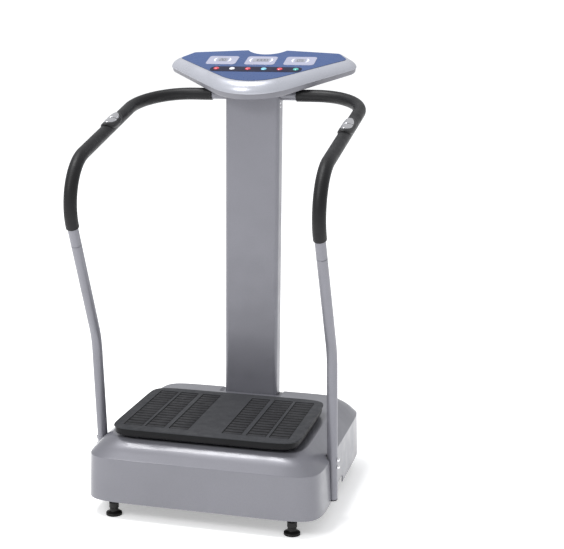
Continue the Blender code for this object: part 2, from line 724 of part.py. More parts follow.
def build_motor(parts, finishes):
    body = make_object(
        "motor",
        rod_mesh((-0.088, MOTOR_Y, MOTOR_Z), (0.028, MOTOR_Y, MOTOR_Z), MOTOR_RADIUS, 28),
        parts,
        finishes["cast"],
    )
    extras = helper_group("motor_members")
    bores = helper_group("motor_bore")
    low = (-0.075, MOTOR_Y - 0.038, RAIL_TOP + 0.0025 + GAP)
    helper("motor_foot", box_mesh(low, (0.015, MOTOR_Y + 0.038, 0.112)), extras)
    ends = ((0.001, MOTOR_Y, MOTOR_Z), (0.035, MOTOR_Y, MOTOR_Z))
    helper("shaft_bore", rod_mesh(*ends, 0.0086, 20), bores)
    boolean(body, "UNION", extras)
    boolean(body, "DIFFERENCE", bores)

    rim = helper_group("motor_pulley_rim")
    ends = ((PULLEY_X - PULLEY_HALF_WIDTH, MOTOR_Y, MOTOR_Z), (PULLEY_X + PULLEY_HALF_WIDTH, MOTOR_Y, MOTOR_Z))
    helper("motor_pulley_disc", rod_mesh(*ends, MOTOR_PULLEY_RADIUS, 24), rim)
    ends = ((0.004, MOTOR_Y, MOTOR_Z), (PULLEY_X + 0.014, MOTOR_Y, MOTOR_Z))
    pulley = make_object("motor_pulley", rod_mesh(*ends, 0.008, 20), parts, finishes["bright_steel"])
    boolean(pulley, "UNION", rim)

    loops = [belt_outline(GAP + BELT_THICKNESS), belt_outline(GAP)]
    # The outline's own X and Y become the machine's Y and Z.
    turn = Matrix.Translation((PULLEY_X, 0, 0)) @ Matrix(((0, 0, 1, 0), (1, 0, 0, 0), (0, 1, 0, 0), (0, 0, 0, 1)))
    make_object("drive_belt", slab_mesh(loops, -0.008, 0.008, parts, turn), parts, finishes["belt"])


def build_electrics(parts, finishes):
    """The control box on the frame, the power inlet with its rocker switch, and the cable up the column."""
    low = Vector((-0.250, BASE_Y + 0.070, RAIL_TOP + GAP))
    make_object("control_box", box_mesh(low, (-0.122, BASE_Y + 0.195, 0.150)), parts, finishes["black_plastic"])

    c = INLET_CENTRE
    flange = box_mesh((c.x - 0.017, c.y + 0.0008, c.z - 0.029), (c.x + 0.017, c.y + 0.0030, c.z + 0.029))
    inlet = make_object("power_inlet", flange, parts, finishes["black_plastic"])
    extras = helper_group("inlet_body")
    wells = helper_group("inlet_wells")
    pins = helper_group("inlet_pins")
    low = (c.x - 0.0138, c.y - 0.020, c.z - 0.0248)
    helper("inlet_shell", box_mesh(low, (c.x + 0.0138, c.y + 0.0012, c.z + 0.0248)), extras)
    low = (c.x - 0.0122, c.y - 0.0155, c.z - 0.0225)
    helper("socket_well", box_mesh(low, (c.x + 0.0122, c.y + 0.01, c.z - 0.0060)), wells)
    low = (c.x - 0.0105, c.y - 0.0125, c.z + 0.0050)
    helper("switch_well", box_mesh(low, (c.x + 0.0105, c.y + 0.01, c.z + 0.0205)), wells)
    for k, (dx, dz) in enumerate(((-0.007, -0.0155), (0, -0.0125), (0.007, -0.0155))):
        low = (c.x + dx - 0.001, c.y - 0.016, c.z + dz - 0.0022)
        helper(f"inlet_pin_{k}", box_mesh(low, (c.x + dx + 0.001, c.y - 0.004, c.z + dz + 0.0022)), pins)
    boolean(inlet, "UNION", extras)
    boolean(inlet, "DIFFERENCE", wells)
    boolean(inlet, "UNION", pins)

    rocker = make_object("rocker_switch", box_mesh((-0.0095, -0.004, -0.0062), (0.0095, 0.004, 0.0062)), parts,
                         finishes["switch"])
    rocker.location = ROCKER_PIVOT
    rocker.rotation_euler.x = ROCKER_TILT

    x = -COLUMN_WIDTH / 2 - 0.090
    route = (
        ((0, CABLE_Y, COLUMN_TOP + 0.004), 0),
        ((0, CABLE_Y, CABLE_EXIT_Z), 0.030),
        ((x, CABLE_Y, CABLE_EXIT_Z), 0.030),
        ((x, BASE_Y + 0.195 + GAP, CABLE_EXIT_Z), 0),
    )
    cable = tube_mesh(rounded_path(route, 6), 0.003, parts, sides=8)
    make_object("control_cable", cable, parts, finishes["belt"])


# ---------------------------------------------------------------- column and handles


def build_column(parts, finishes):
    """A rectangular tube on a foot plate, with holes for the cross tube and the cable."""
    low = RAIL_TOP + GAP
    outline = rounded_rectangle(COLUMN_WIDTH, COLUMN_DEPTH, COLUMN_CORNER, 0, COLUMN_Y)
    column = make_object("column", slab_mesh([outline], low + 0.002, COLUMN_TOP, parts), parts, finishes["paint"])
    plate = helper_group("column_foot_plate")
    low_corner = (-0.110, COLUMN_Y - 0.062, low)
    helper("foot_plate", box_mesh(low_corner, (0.110, COLUMN_Y + 0.054, low + 0.006)), plate)
    bore = helper_group("column_bore")
    trim = 2 * COLUMN_WALL
    inside = rounded_rectangle(
        COLUMN_WIDTH - trim, COLUMN_DEPTH - trim, COLUMN_CORNER - COLUMN_WALL, 0, COLUMN_Y
    )
    helper("column_bore_cut", slab_mesh([inside], low + 0.010, COLUMN_TOP + 0.01, bore), bore)
    holes = helper_group("column_holes")
    y, z = HANDLE_TOP.yz
    helper("cross_tube_hole", rod_mesh((-0.1, y, z), (0.1, y, z), TUBE_RADIUS + GAP, 24), holes)
    start = (-COLUMN_WIDTH / 2 - 0.01, CABLE_Y, CABLE_EXIT_Z)
    helper("cable_hole", rod_mesh(start, (-0.06, CABLE_Y, CABLE_EXIT_Z), 0.005, 12), holes)
    boolean(column, "UNION", plate)
    boolean(column, "DIFFERENCE", bore)
    boolean(column, "DIFFERENCE", holes)


def handle_corners(side):
    """The handle's centre line, from the column to the foot, as (point, bend radius)."""
    start = Vector((STUB_END_X + GAP, *HANDLE_TOP.yz))
    line = (
        (start, 0),
        (HANDLE_TOP, TOP_BEND_RADIUS),
        (HANDLE_BEND, GRIP_BEND_RADIUS),
        (HANDLE_KNEE, KNEE_RADIUS),
        (HANDLE_FOOT, 0),
    )
    return [(mirrored(point, side), radius) for point, radius in line]


def build_handles(parts, finishes):
    y, z = HANDLE_TOP.yz
    cross = rounded_path((((-STUB_END_X, y, z), 0), ((STUB_END_X, y, z), 0)))
    pipe("cross_tube", cross, TUBE_RADIUS, TUBE_WALL, parts, finishes["paint"])
    for side, word in SIDES:
        corners = handle_corners(side)
        seam, seam_below, foam_end = (
            (mirrored(on_run(HANDLE_BEND, HANDLE_KNEE, height), side), 0)
            for height in (SEAM_Z, SEAM_Z - GAP, FOAM_END_Z)
        )
        upper = rounded_path(corners[:3] + [seam])
        pipe("upper_tube_" + word, upper, TUBE_RADIUS, TUBE_WALL, parts, finishes["paint"])
        grip = rounded_path(corners[:3] + [foam_end])
        foam_wall = FOAM_RADIUS - TUBE_RADIUS - GAP
        pipe("foam_grip_" + word, grip, FOAM_RADIUS, foam_wall, parts, finishes["foam"])
        lower = rounded_path([seam_below] + corners[3:])
        tube = pipe("lower_tube_" + word, lower, TUBE_RADIUS, TUBE_WALL, parts, finishes["paint"])
        holes = helper_group("lower_tube_holes_" + word)
        bolt_holes("tube", side, word, 0.31, 0.36, holes)
        boolean(tube, "DIFFERENCE", holes)
        for height, place in zip(HANDLE_BOLT_Z, ("lower", "upper")):
            name = f"handle_bolt_{word}_{place}"
            build_bolt(name, side, on_run(HANDLE_KNEE, HANDLE_FOOT, height), parts, finishes["chrome"])
        build_sensor(side, word, parts, finishes)


def build_bolt(name, side, centre, parts, finish):
    """A domed bolt through the handle's foot, the cover's groove and the frame's bracket."""
    reach = HANDLE_FOOT.x + TUBE_RADIUS + GAP
    tip = 0.304
    profile = [(0, 0.0048), (0.0035, 0.0042), (0.0062, 0.0022), (0.0070, 0), (0.0042, 0)]
    profile += [(0.0042, tip - reach), (0, tip - reach)]
    bolt = turned(name, profile, parts, finish, 12)
    bolt.location = (side * reach, centre.y, centre.z)
    bolt.rotation_euler.y = side * math.pi / 2


def sector(outer, inner, half_angle, steps=8):
    """A band of a ring about the top of a circle."""
    points = []
    for radius, first, last in ((outer, -half_angle, half_angle), (inner, half_angle, -half_angle)):
        for k in range(steps + 1):
            turn = first + (last - first) * k / steps + math.pi / 2
            points.append(Vector((radius * math.cos(turn), radius * math.sin(turn))))
    return points


def grip_matrix(side, y):
    """A place on the grip's straight run: X to the right, Y out of the grip's top, Z along it to the front."""
    top = mirrored(HANDLE_TOP, side)
    bend = mirrored(HANDLE_BEND, side)
    along = (top - bend).normalized()
    right = along.cross(Vector((0, 0, 1))).normalized()
    up = right.cross(along)
    centre = bend.lerp(top, (y - bend.y) / (top.y - bend.y))
    return Matrix.Translation(centre) @ Matrix((right, up, -along)).transposed().to_4x4()


def build_sensor(side, word, parts, finishes):
    """A saddle over the grip, carrying two contact plates."""
    turn = grip_matrix(side, SENSOR_Y)
    half = SENSOR_LENGTH / 2
    band = sector(SENSOR_RADIUS, FOAM_RADIUS + GAP, math.radians(100), 10)
    housing = slab_mesh([band], -half, half, parts, turn)
    make_object("sensor_housing_" + word, housing, parts, finishes["black_plastic"])
    for low, high, way in ((-half + 0.008, -0.001, "rear"), (0.001, half - 0.008, "front")):
        plate = sector(SENSOR_RADIUS + 0.0016, SENSOR_RADIUS + GAP, math.radians(48), 6)
        mesh = slab_mesh([plate], low, high, parts, turn)
        make_object(f"sensor_plate_{way}_{word}", mesh, parts, finishes["chrome"])


# ---------------------------------------------------------------- console


def console_matrix():
    return Matrix.Translation(CONSOLE_ORIGIN) @ Matrix.Rotation(CONSOLE_TILT, 4, "X")


def console_outline(part, grow=0.0, steps=4):
    """The console's outline between the panel's edge (part 0) and the rim (part 1), anticlockwise."""
    right = []
    for panel, rim in zip(PANEL_CORNERS, RIM_CORNERS):
        right.append(tuple(a + (b - a) * part for a, b in zip(panel, rim)))
    left = [(-x, s, radius) for x, s, radius in reversed(right[1:])]
    return rounded_corners(grown_corners(right + [NOTCH_CORNER] + left, grow), steps)


def console_ring(part, n, grow=0.0, slope=0.0):
    return [Vector((p.x, p.y, n + slope * p.y)) for p in console_outline(part, grow)]


def underside_ring(rise, grow):
    """The lower shell's outline at a height above its sloping underside."""
    return console_ring(1, rise - CONSOLE_DEPTH, grow, UNDERSIDE_SLOPE)


def place_on_console(thing):
    thing.matrix_world = console_matrix()
    return thing


def window_places():
    return [(k * WINDOW_PITCH, WINDOW_S, word) for k, word in ((-1, "left"), (0, "middle"), (1, "right"))]


def button_places():
    return [((k - 2.5) * BUTTON_PITCH, 0.0) for k in range(6)]


def build_shells(parts, finishes):
    upper = make_object(
        "console_upper_shell",
        loft_mesh([console_ring(1, -RIM_DROP), console_ring(*RIM_MIDDLE), console_ring(0, 0, 0.002)]),
        parts,
        finishes["console_paint"],
    )
    hollow = helper_group("upper_shell_hollow")
    rings = [
        console_ring(1, -RIM_DROP - 0.004, -WALL),
        console_ring(1, -RIM_DROP, -WALL),
        console_ring(RIM_MIDDLE[0], RIM_MIDDLE[1] - WALL * 0.8, -WALL * 0.8),
        console_ring(0, -WALL, -0.001),
    ]
    place_on_console(helper("upper_hollow", loft_mesh(rings), hollow))
    holes = helper_group("upper_shell_holes")
    for k, (x, s) in enumerate(button_places()):
        rod = rod_mesh((x, s, -0.012), (x, s, 0.01), BUTTON_RADIUS + 0.0007, 16)
        place_on_console(helper(f"button_hole_{k}", rod, holes))
    for x, s, word in window_places():
        low = (x - 0.026, s - 0.014, -0.012)
        place_on_console(helper("display_hole_" + word, box_mesh(low, (x + 0.026, s + 0.014, 0.01)), holes))
    place_on_console(upper)
    boolean(upper, "DIFFERENCE", hollow)
    boolean(upper, "DIFFERENCE", holes)

    top = -RIM_DROP - GAP
    rings = [underside_ring(0, -0.014), underside_ring(0.0025, -0.006), underside_ring(0.008, -0.003)]
    rings.append(console_ring(1, top, -0.001))
    lower = place_on_console(make_object("console_lower_shell", loft_mesh(rings), parts, finishes["dark_paint"]))
    hollow = helper_group("lower_shell_hollow")
    rings = [underside_ring(WALL, -0.016), underside_ring(0.0048, -0.0092), underside_ring(0.0088, -0.0062)]
    rings.append(console_ring(1, top + 0.004, -0.0042))
    place_on_console(helper("lower_hollow", loft_mesh(rings), hollow))
    boolean(lower, "DIFFERENCE", hollow)
    socket = helper_group("column_socket")
    outline = rounded_rectangle(COLUMN_WIDTH + 2 * GAP, COLUMN_DEPTH + 2 * GAP, COLUMN_CORNER, 0, COLUMN_Y)
    helper("column_socket_cut", slab_mesh([outline], 1.09, 1.17, socket), socket)
    boolean(lower, "DIFFERENCE", socket)


def build_panel(parts, finishes):
    """The printed overlay, the display windows, the board behind them and the six buttons."""
    holes = [circle(x, s, BUTTON_RADIUS + 0.0007) for x, s in button_places()]
    holes += [rounded_rectangle(*WINDOW_SIZE, 0.010, x, s) for x, s, _ in window_places()]
    loops = [console_outline(0)] + holes
    sheet = slab_mesh(loops, GAP, 0.0012, parts, console_matrix())
    make_object("panel_overlay", sheet, parts, finishes["overlay"])
    for x, s, word in window_places():
        outline = rounded_rectangle(WINDOW_SIZE[0] - 2 * GAP, WINDOW_SIZE[1] - 2 * GAP, 0.010, x, s)
        pane = slab_mesh([outline], GAP, 0.0020, parts, console_matrix())
        make_object("display_window_" + word, pane, parts, finishes["window"])
    board = box_mesh((-0.150, -0.016, -0.0180), (0.150, 0.094, -0.0164))
    place_on_console(make_object("control_board", board, parts, finishes["board"]))
    radius = BUTTON_RADIUS
    profile = [(0, 0.0040), (radius * 0.6, 0.0036), (radius, 0.0018), (radius, -0.0036), (0.0108, -0.0036)]
    profile += [(0.0108, -0.0050), (0.0040, -0.0050), (0.0040, -0.0120), (0, -0.0120)]
    for k, (x, s) in enumerate(button_places()):
        button = turned(f"button_{k + 1}", profile, parts, finishes["button_" + BUTTON_COLOURS[k]])
        button.matrix_world = console_matrix() @ Matrix.Translation((x, s, 0))


# ---------------------------------------------------------------- finishes and assembly


def make_finishes():
    return {
        "paint": material("silver_paint", (0.55, 0.55, 0.60), 0.38, 0.35),
        "dark_paint": material("grey_plastic", (0.30, 0.30, 0.33), 0.45),
        "console_paint": material("console_silver", (0.66, 0.67, 0.72), 0.30, 0.30),
        "cover": material("cover_silver", (0.52, 0.53, 0.58), 0.40, 0.20),
        "steel": material("black_steel", (0.05, 0.05, 0.055), 0.50, 0.60),
        "bright_steel": material("bright_steel", (0.62, 0.62, 0.64), 0.28, 1.0),
        "cast": material("cast_metal", (0.30, 0.31, 0.32), 0.55, 0.80),
        "chrome": material("chrome", (0.80, 0.80, 0.82), 0.12, 1.0),
        "rubber": material("foot_rubber", (0.020, 0.020, 0.022), 0.55),
        "belt": material("belt_rubber", (0.025, 0.025, 0.025), 0.70),
        "mat": material("mat_rubber", (0.055, 0.055, 0.060), 0.65),
        "platform": material("platform_black", (0.012, 0.012, 0.014), 0.45),
        "foam": material("foam_grip", (0.022, 0.022, 0.024), 0.75),
        "black_plastic": material("black_plastic", (0.020, 0.020, 0.022), 0.45),
        "overlay": material("blue_overlay", (0.06, 0.12, 0.33), 0.35),
        "window": material("window_silver", (0.55, 0.58, 0.66), 0.20),
        "board": material("circuit_board", (0.02, 0.16, 0.07), 0.50),
        "switch": material("switch_red", (0.45, 0.02, 0.02), 0.35),
        "button_red": material("button_red", (0.60, 0.05, 0.07), 0.30),
        "button_white": material("button_white", (0.80, 0.80, 0.82), 0.30),
        "button_cyan": material("button_cyan", (0.15, 0.60, 0.75), 0.30),
        "button_green": material("button_green", (0.05, 0.45, 0.35), 0.30),
    }


def main():
    clear_scene()
    finishes = make_finishes()
    parts = new_collection("vibration_plate")
    build_frame(parts, finishes["steel"])
    build_cover(parts, finishes["cover"])
    build_feet(parts, finishes["rubber"], finishes["chrome"])
    build_platform(parts, finishes)
    build_pivot(parts, finishes)
    build_crank(parts, finishes)
    build_rods(parts, finishes)
    build_motor(parts, finishes)
    build_electrics(parts, finishes)
    build_column(parts, finishes)
    build_handles(parts, finishes)
    build_shells(parts, finishes)
    build_panel(parts, finishes)


main()
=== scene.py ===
import json
import math

import bmesh
import bpy
from mathutils import Matrix, Vector


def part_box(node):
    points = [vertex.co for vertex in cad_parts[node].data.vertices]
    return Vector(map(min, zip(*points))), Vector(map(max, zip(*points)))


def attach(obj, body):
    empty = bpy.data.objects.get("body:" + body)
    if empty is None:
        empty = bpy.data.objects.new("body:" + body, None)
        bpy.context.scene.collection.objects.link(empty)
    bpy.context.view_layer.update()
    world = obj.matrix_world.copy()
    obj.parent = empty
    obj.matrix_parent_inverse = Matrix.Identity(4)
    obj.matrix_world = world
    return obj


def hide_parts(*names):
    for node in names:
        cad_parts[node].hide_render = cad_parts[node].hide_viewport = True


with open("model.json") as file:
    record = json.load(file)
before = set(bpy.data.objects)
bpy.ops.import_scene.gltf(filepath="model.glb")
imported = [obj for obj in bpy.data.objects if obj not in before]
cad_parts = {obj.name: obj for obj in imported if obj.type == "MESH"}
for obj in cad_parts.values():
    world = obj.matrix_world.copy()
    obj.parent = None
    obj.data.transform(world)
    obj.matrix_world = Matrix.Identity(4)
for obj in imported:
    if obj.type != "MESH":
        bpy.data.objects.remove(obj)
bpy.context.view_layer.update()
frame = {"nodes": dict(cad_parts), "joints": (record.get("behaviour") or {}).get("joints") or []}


def middle(node):
    low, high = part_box(node)
    return (low + high) / 2


def half_size(node):
    low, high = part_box(node)
    return (high - low) / 2


# Everything is in metres, in the CAD's own frame: +X right, +Y rear, +Z up.
GAP = 0.0003  # play between pieces that fit together
WALL = 0.003  # thickness of the moulded shells
SIDES = ((-1, "left"), (1, "right"))
ENDS = ((-1, "front"), (1, "rear"))

# Base cover and feet
BASE_Y = middle("base_cover").y
BASE_HALF = half_size("base_cover")
SKIRT_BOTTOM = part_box("base_cover")[0].z
PLATEAU_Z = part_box("base_cover")[1].z
CREASE_DROP = 0.0472  # from the flat top down to the crease over the skirt
BASE_DRAFT = 0.004  # how far the sides lean in up to the crease
SKIRT_LIP = 0.0014
SHOULDER = (0.0231, 0.0265)  # inset and height of the bulge above the crease
PLATEAU_INSET = (0.0553, 0.0499)  # of the flat top, from the sides and from the ends
COVER_POWER = 10  # squareness of the superellipse seen from above
CREASE_RADIUS = 0.004
SHOULDER_RADIUS = 0.120
PLATEAU_RADIUS = 0.010
GROOVE_HALF = 0.0185  # of the groove that each handle stands in
GROOVE_LIP = 0.0025
GROOVE_X = 0.3175  # its wall
GROOVE_TOP = 0.20
BAND_STEP = 0.0016  # spacing of the cover's points near the grooves
POCKET_HALF = 0.097  # of the shallow pocket round the column
POCKET_DEPTH = 0.007
POCKET_FRONT = 0.003
INLET_HALF = (0.0145, 0.0255)
NOTCH_HALF = (0.035, 0.026)  # of the lifting notch under each side
NOTCH_Y = BASE_Y - 0.030
NOTCH_TOP = 0.072
STEM_RADIUS = 0.005
THREAD_PITCH = 0.0015
THREAD_DEPTH = 0.0005

# Platform and mat
PLATE_Y = middle("rubber_mat").y
PLATE_HALF = half_size("rubber_mat")
PLATE_POWER = 11
PLATE_OPENING = (0.190, 0.130)  # in the cover, for the platform's carrier
MAT_EDGE = 0.002
MAT_LIP = 0.0006
TRAY_INSET = 0.003
PANEL_X = (0.075, 0.143, 0.206)  # middles of the ribbed panels, on both sides
PANEL_HALF = (0.0275, 0.165)
PANEL_DEPTH = 0.0018
RIBS = 15
RIB_INSET = 0.0022
RIB_SHARE = 0.31  # half width of a rib, as a share of the pitch

# Column and handles
CROSS = middle("cross_tube")
TUBE_RADIUS = 0.0145
TUBE_BORE = TUBE_RADIUS - 0.0016
COLUMN_HALF = (0.08125, 0.0275)
COLUMN_CORNER = 0.012
COLUMN_WALL = 0.002
SCREW_DROPS = (0.021, 0.032)  # below the cross tube's middle
SCREW_HEAD = (
    (0, 0.0004, 0),
    (0.0012, 0.0004, 0.0002),
    (0.0014, 0.0016, 0.0003),
    (0.0034, 0.0012, 0.0006),
    (0.0036, 0, 0.0001),
    (0, 0, 0),
)
STUB_END_X = half_size("cross_tube").x
FOAM_RADIUS = 0.0178
HANDLE_TOP = Vector((0.338, CROSS.y, CROSS.z))
HANDLE_BEND = Vector((0.3265, BASE_Y - 0.4222, 0.959))
HANDLE_KNEE = Vector((0.333, BASE_Y - 0.1887, 0.476))
HANDLE_FOOT = Vector((0.333, BASE_Y - 0.1442, 0.056))
BEND_RADII = (0.150, 0.130, 0.213)  # at the top, bend and knee
FOAM_END_Z = 0.812
SEAM_Z = 0.762  # joint between the upper and the lower length
SENSOR_Y = BASE_Y - 0.040
SENSOR_HALF = 0.054
SADDLE_COLUMNS = 28
SADDLE_ROWS = 36
BOLT_HEAD = 0.0066
BOLT_SHANK = 0.0042

# Console: its own plane has x to the right, s up the slope and n out of the panel.
SLOPE = next(j for j in frame["joints"] if j["name"] == "button_1_press")["axis"]
TILT = math.atan2(SLOPE[1], -SLOPE[2])
WINDOW_S = 0.066
WINDOW_N = 0.00115  # middle of a window's thickness above the panel
ON_PANEL = (-TILT, 0, 0)  # turns textures to lie flat on the panel
CONSOLE = (
    Matrix.Translation(middle("display_window_middle"))
    @ Matrix.Rotation(TILT, 4, "X")
    @ Matrix.Translation((0, -WINDOW_S, -WINDOW_N))
)
# Corners (x, s, radius) of the panel and of the rim, from the front point round the right side.
PANEL_CORNERS = (
    (0, -0.1337, 0.1395),
    (0.256, 0.083, 0.012),
    (0.224, 0.130, 0.012),
    (0.0595, 0.152, 0.003),
)
RIM_CORNERS = (
    (0, -0.1808, 0.1755),
    (0.296, 0.0747, 0.030),
    (0.236, 0.142, 0.018),
    (0.0625, 0.158, 0.004),
)
NOTCH_CORNER = (0, 0.066, 0.0687)  # the dip in the middle of the rear edge
RIM_DROP = 0.024  # from the panel to the parting line, level with the buttons
RIM_SLOPE = 0.034  # how much less it drops for each metre up the slope
RIM_POWER = 1.6  # fullness of the rolled rim; 2 would be an ellipse
RIM_STEPS = 14
UNDERSIDE_N = -0.0425  # of the underside, level with the buttons
UNDERSIDE_SLOPE = 0.053
WINDOW_HALF = (0.0462, 0.0327)
SHEET_TOP = 0.0012
PANE_TOP = 0.0020
GLASS_TOP = 0.0024
DIGIT_HEIGHT = 0.015
DIGIT_PITCH = 0.0105
WINDOW_PITCH = 0.119
BUTTON_PITCH = 0.048
BUTTON_RADIUS = 0.0085
FLANGE = 0.0108  # radius of the rim that keeps a button in
BUTTON_COLOURS = ("red", "white", "red", "cyan", "red", "green")


# ---- materials


class Finish:
    """A Principled material, with short ways to add procedural detail."""

    def __init__(self, name, roughness=0.5, metallic=0.0, **constants):
        self.material = bpy.data.materials.new(name)
        self.material.use_nodes = True
        self.tree = self.material.node_tree
        self.shader = self.tree.nodes["Principled BSDF"]
        self.fill(self.shader, {"Roughness": roughness, "Metallic": metallic})
        self.fill(self.shader, {key.replace("_", " "): value for key, value in constants.items()})
        self.coordinates = self.add("ShaderNodeTexCoord", {})

    def fill(self, node, inputs):
        """Sets a node's inputs, each to a value or from another node's output."""
        for socket, value in inputs.items():
            if isinstance(value, bpy.types.NodeSocket):
                self.tree.links.new(value, node.inputs[socket])
            else:
                node.inputs[socket].default_value = value

    def add(self, kind, inputs, **settings):
        node = self.tree.nodes.new(kind)
        for key, value in settings.items():
            setattr(node, key, value)
        self.fill(node, inputs)
        return node

    def place(self, stretch=(1, 1, 1), turn=(0, 0, 0), kind="Object"):
        """Texture coordinates in metres, stretched and turned."""
        inputs = {"Scale": stretch, "Rotation": turn, "Vector": self.coordinates.outputs[kind]}
        return self.add("ShaderNodeMapping", inputs, vector_type="POINT").outputs["Vector"]

    def noise(self, scale, detail=2.0, where=None):
        inputs = {"Scale": scale, "Detail": detail, "Vector": where or self.place()}
        return self.add("ShaderNodeTexNoise", inputs).outputs["Fac"]

    def cells(self, scale, where=None, output="Distance", **others):
        inputs = {"Scale": scale, "Vector": where or self.place(), **others}
        return self.add("ShaderNodeTexVoronoi", inputs).outputs[output]

    def waves(self, scale, where, distortion=0.0, direction="Y"):
        inputs = {"Scale": scale, "Distortion": distortion, "Detail Scale": 2.0, "Vector": where}
        return self.add("ShaderNodeTexWave", inputs, bands_direction=direction).outputs["Fac"]

    def span(self, source, low, high, start=0.0, end=1.0):
        """Maps a value from one range to another, clamped."""
        inputs = {"Value": source, "From Min": start, "From Max": end, "To Min": low, "To Max": high}
        return self.add("ShaderNodeMapRange", inputs).outputs["Result"]

    def mix(self, factor, first, second, blend="MIX"):
        """Mixes two colours; each is a colour or another node's output."""
        first, second = ((*c, 1.0) if isinstance(c, tuple) else c for c in (first, second))
        inputs = {0: factor, 6: first, 7: second}
        return self.add("ShaderNodeMix", inputs, data_type="RGBA", blend_type=blend).outputs[2]

    def patches(self, scale, low, high, detail=2.0, where=None):
        """A value that drifts between low and high in soft patches."""
        return self.span(self.noise(scale, detail, where), low, high, 0.3, 0.7)

    def tint(self, colour, amount, scale):
        """The colour, drifting a little lighter and darker in soft patches."""
        dark = tuple(c * (1 - amount) for c in colour)
        light = tuple(min(1.0, c * (1 + amount)) for c in colour)
        return self.mix(self.patches(scale, 0, 1), dark, light)

    def colour(self, source):
        self.fill(self.shader, {"Base Color": source})

    def shaded(self, source, shade):
        """Uses the colour, multiplied by a shade near 1."""
        self.colour(self.mix(1.0, source, shade, "MULTIPLY"))

    def rough(self, low, high, scale):
        self.fill(self.shader, {"Roughness": self.patches(scale, low, high, 3.0)})

    def bump(self, height, depth, strength, over=None):
        """A bump of the given depth in metres. Its normal is returned, for another to lie over."""
        inputs = {"Strength": strength, "Distance": depth, "Height": height}
        if over is not None:
            inputs["Normal"] = over
        normal = self.add("ShaderNodeBump", inputs).outputs["Normal"]
        self.fill(self.shader, {"Normal": normal})
        return normal


def painted(name, colour, roughness, metallic, coat):
    """Metallic paint: fine flakes, a little orange peel and soft handling marks."""
    made = Finish(name, roughness, metallic, Coat_Weight=coat, Coat_Roughness=0.12)
    flakes = made.span(made.cells(1400.0, output="Color"), 0.90, 1.10)
    made.shaded(made.tint(colour, 0.035, 5.0), flakes)
    made.rough(roughness - 0.05, roughness + 0.07, 18.0)
    made.bump(made.noise(260.0, 1.0), 0.00003, 0.35)
    return made.material


def moulded(name, colour, roughness, grain=900.0, depth=0.00006, specular=0.5, coat=0.0):
    """Moulded plastic: spark-eroded grain, faint flow marks and scuffs."""
    coating = {"Coat_Weight": coat, "Coat_Roughness": 0.1}
    made = Finish(name, roughness, Specular_IOR_Level=specular, **coating)
    marks = made.patches(9.0, 0.96, 1.04, 6.0, made.place((1, 6, 1)))
    made.shaded(made.tint(colour, 0.05, 7.0), marks)
    made.rough(roughness - 0.06, roughness + 0.08, 30.0)
    made.bump(made.noise(grain, 2.0), depth, 0.5)
    return made.material


def mat_rubber(name, colour, dusty):
    """Pebbled black-grey rubber, dusted lighter where feet rub."""
    made = Finish(name, 0.62, Specular_IOR_Level=0.2)
    dust = made.span(made.noise(14.0, 5.0), 0.0, 0.5, 0.45, 0.75)
    worn = made.mix(dust, made.tint(colour, 0.10, 10.0), dusty)
    made.colour(worn)
    made.rough(0.52, 0.74, 45.0)
    pebbles = made.bump(made.cells(420.0), 0.0004, 0.55)
    made.bump(made.noise(1800.0, 2.0), 0.0001, 0.5, pebbles)
    return made.material


def foam_skin():
    """Closed-cell foam: fine creases across the grip, small cells and a soft sheen."""
    made = Finish("foam_skin", 0.46, Specular_IOR_Level=0.28)
    along = made.place(kind="UV")
    made.colour(made.tint((0.007, 0.007, 0.008), 0.18, 12.0))
    made.rough(0.36, 0.52, 25.0)
    creases = made.bump(made.waves(55.0, along, 3.0), 0.00035, 0.35)
    cells = made.bump(made.cells(900.0), 0.00025, 0.5, creases)
    made.bump(made.noise(60.0, 3.0), 0.0008, 0.35, cells)
    return made.material


def polished(name, colour, roughness, grain):
    """Bright metal with faint turning marks and fingerprints."""
    made = Finish(name, roughness, 1.0)
    made.colour(made.tint(colour, 0.04, 30.0))
    made.rough(roughness * 0.6, roughness * 1.6, 80.0)
    made.bump(made.noise(grain, 2.0, made.place((1, 1, 12))), 0.00003, 0.4)
    return made.material


def cast_iron(name, colour):
    """Sand-cast metal with a pitted skin and dull and bright patches."""
    made = Finish(name, 0.55, 0.75)
    made.colour(made.tint(colour, 0.18, 25.0))
    made.rough(0.42, 0.68, 60.0)
    pits = made.bump(made.cells(260.0), 0.0005, 0.6)
    made.bump(made.noise(900.0, 4.0), 0.0002, 0.5, pits)
    return made.material


def overlay_film():
    """Printed blue film with a fine screen of dots."""
    made = Finish("overlay_film", 0.34, Coat_Weight=0.10, Coat_Roughness=0.2, Specular_IOR_Level=0.35)
    dots = made.span(made.cells(700.0, made.place(turn=ON_PANEL), Randomness=0.0), 1.10, 0.94, 0.15, 0.45)
    made.shaded(made.tint((0.026, 0.066, 0.200), 0.08, 4.0), dots)
    made.rough(0.24, 0.38, 40.0)
    made.bump(made.noise(1500.0, 1.0), 0.00002, 0.4)
    return made.material


def window_film():
    """Silver window print with rows of small dots."""
    made = Finish("window_film", 0.28, Coat_Weight=0.15, Coat_Roughness=0.15)
    dots = made.span(made.cells(380.0, made.place(turn=ON_PANEL), Randomness=0.0), 0.0, 1.0, 0.22, 0.40)
    made.colour(made.mix(dots, (0.20, 0.20, 0.31), made.tint((0.36, 0.37, 0.48), 0.04, 20.0)))
    made.rough(0.20, 0.32, 50.0)
    return made.material


def lcd_glass():
    """A grey liquid-crystal pane with a faint cell grid."""
    made = Finish("lcd_glass", 0.18, Coat_Weight=0.5, Coat_Roughness=0.08)
    lines = made.span(made.waves(160.0, made.place(turn=ON_PANEL), direction="X"), 0.88, 1.06)
    made.shaded(made.tint((0.30, 0.31, 0.36), 0.06, 30.0), lines)
    return made.material


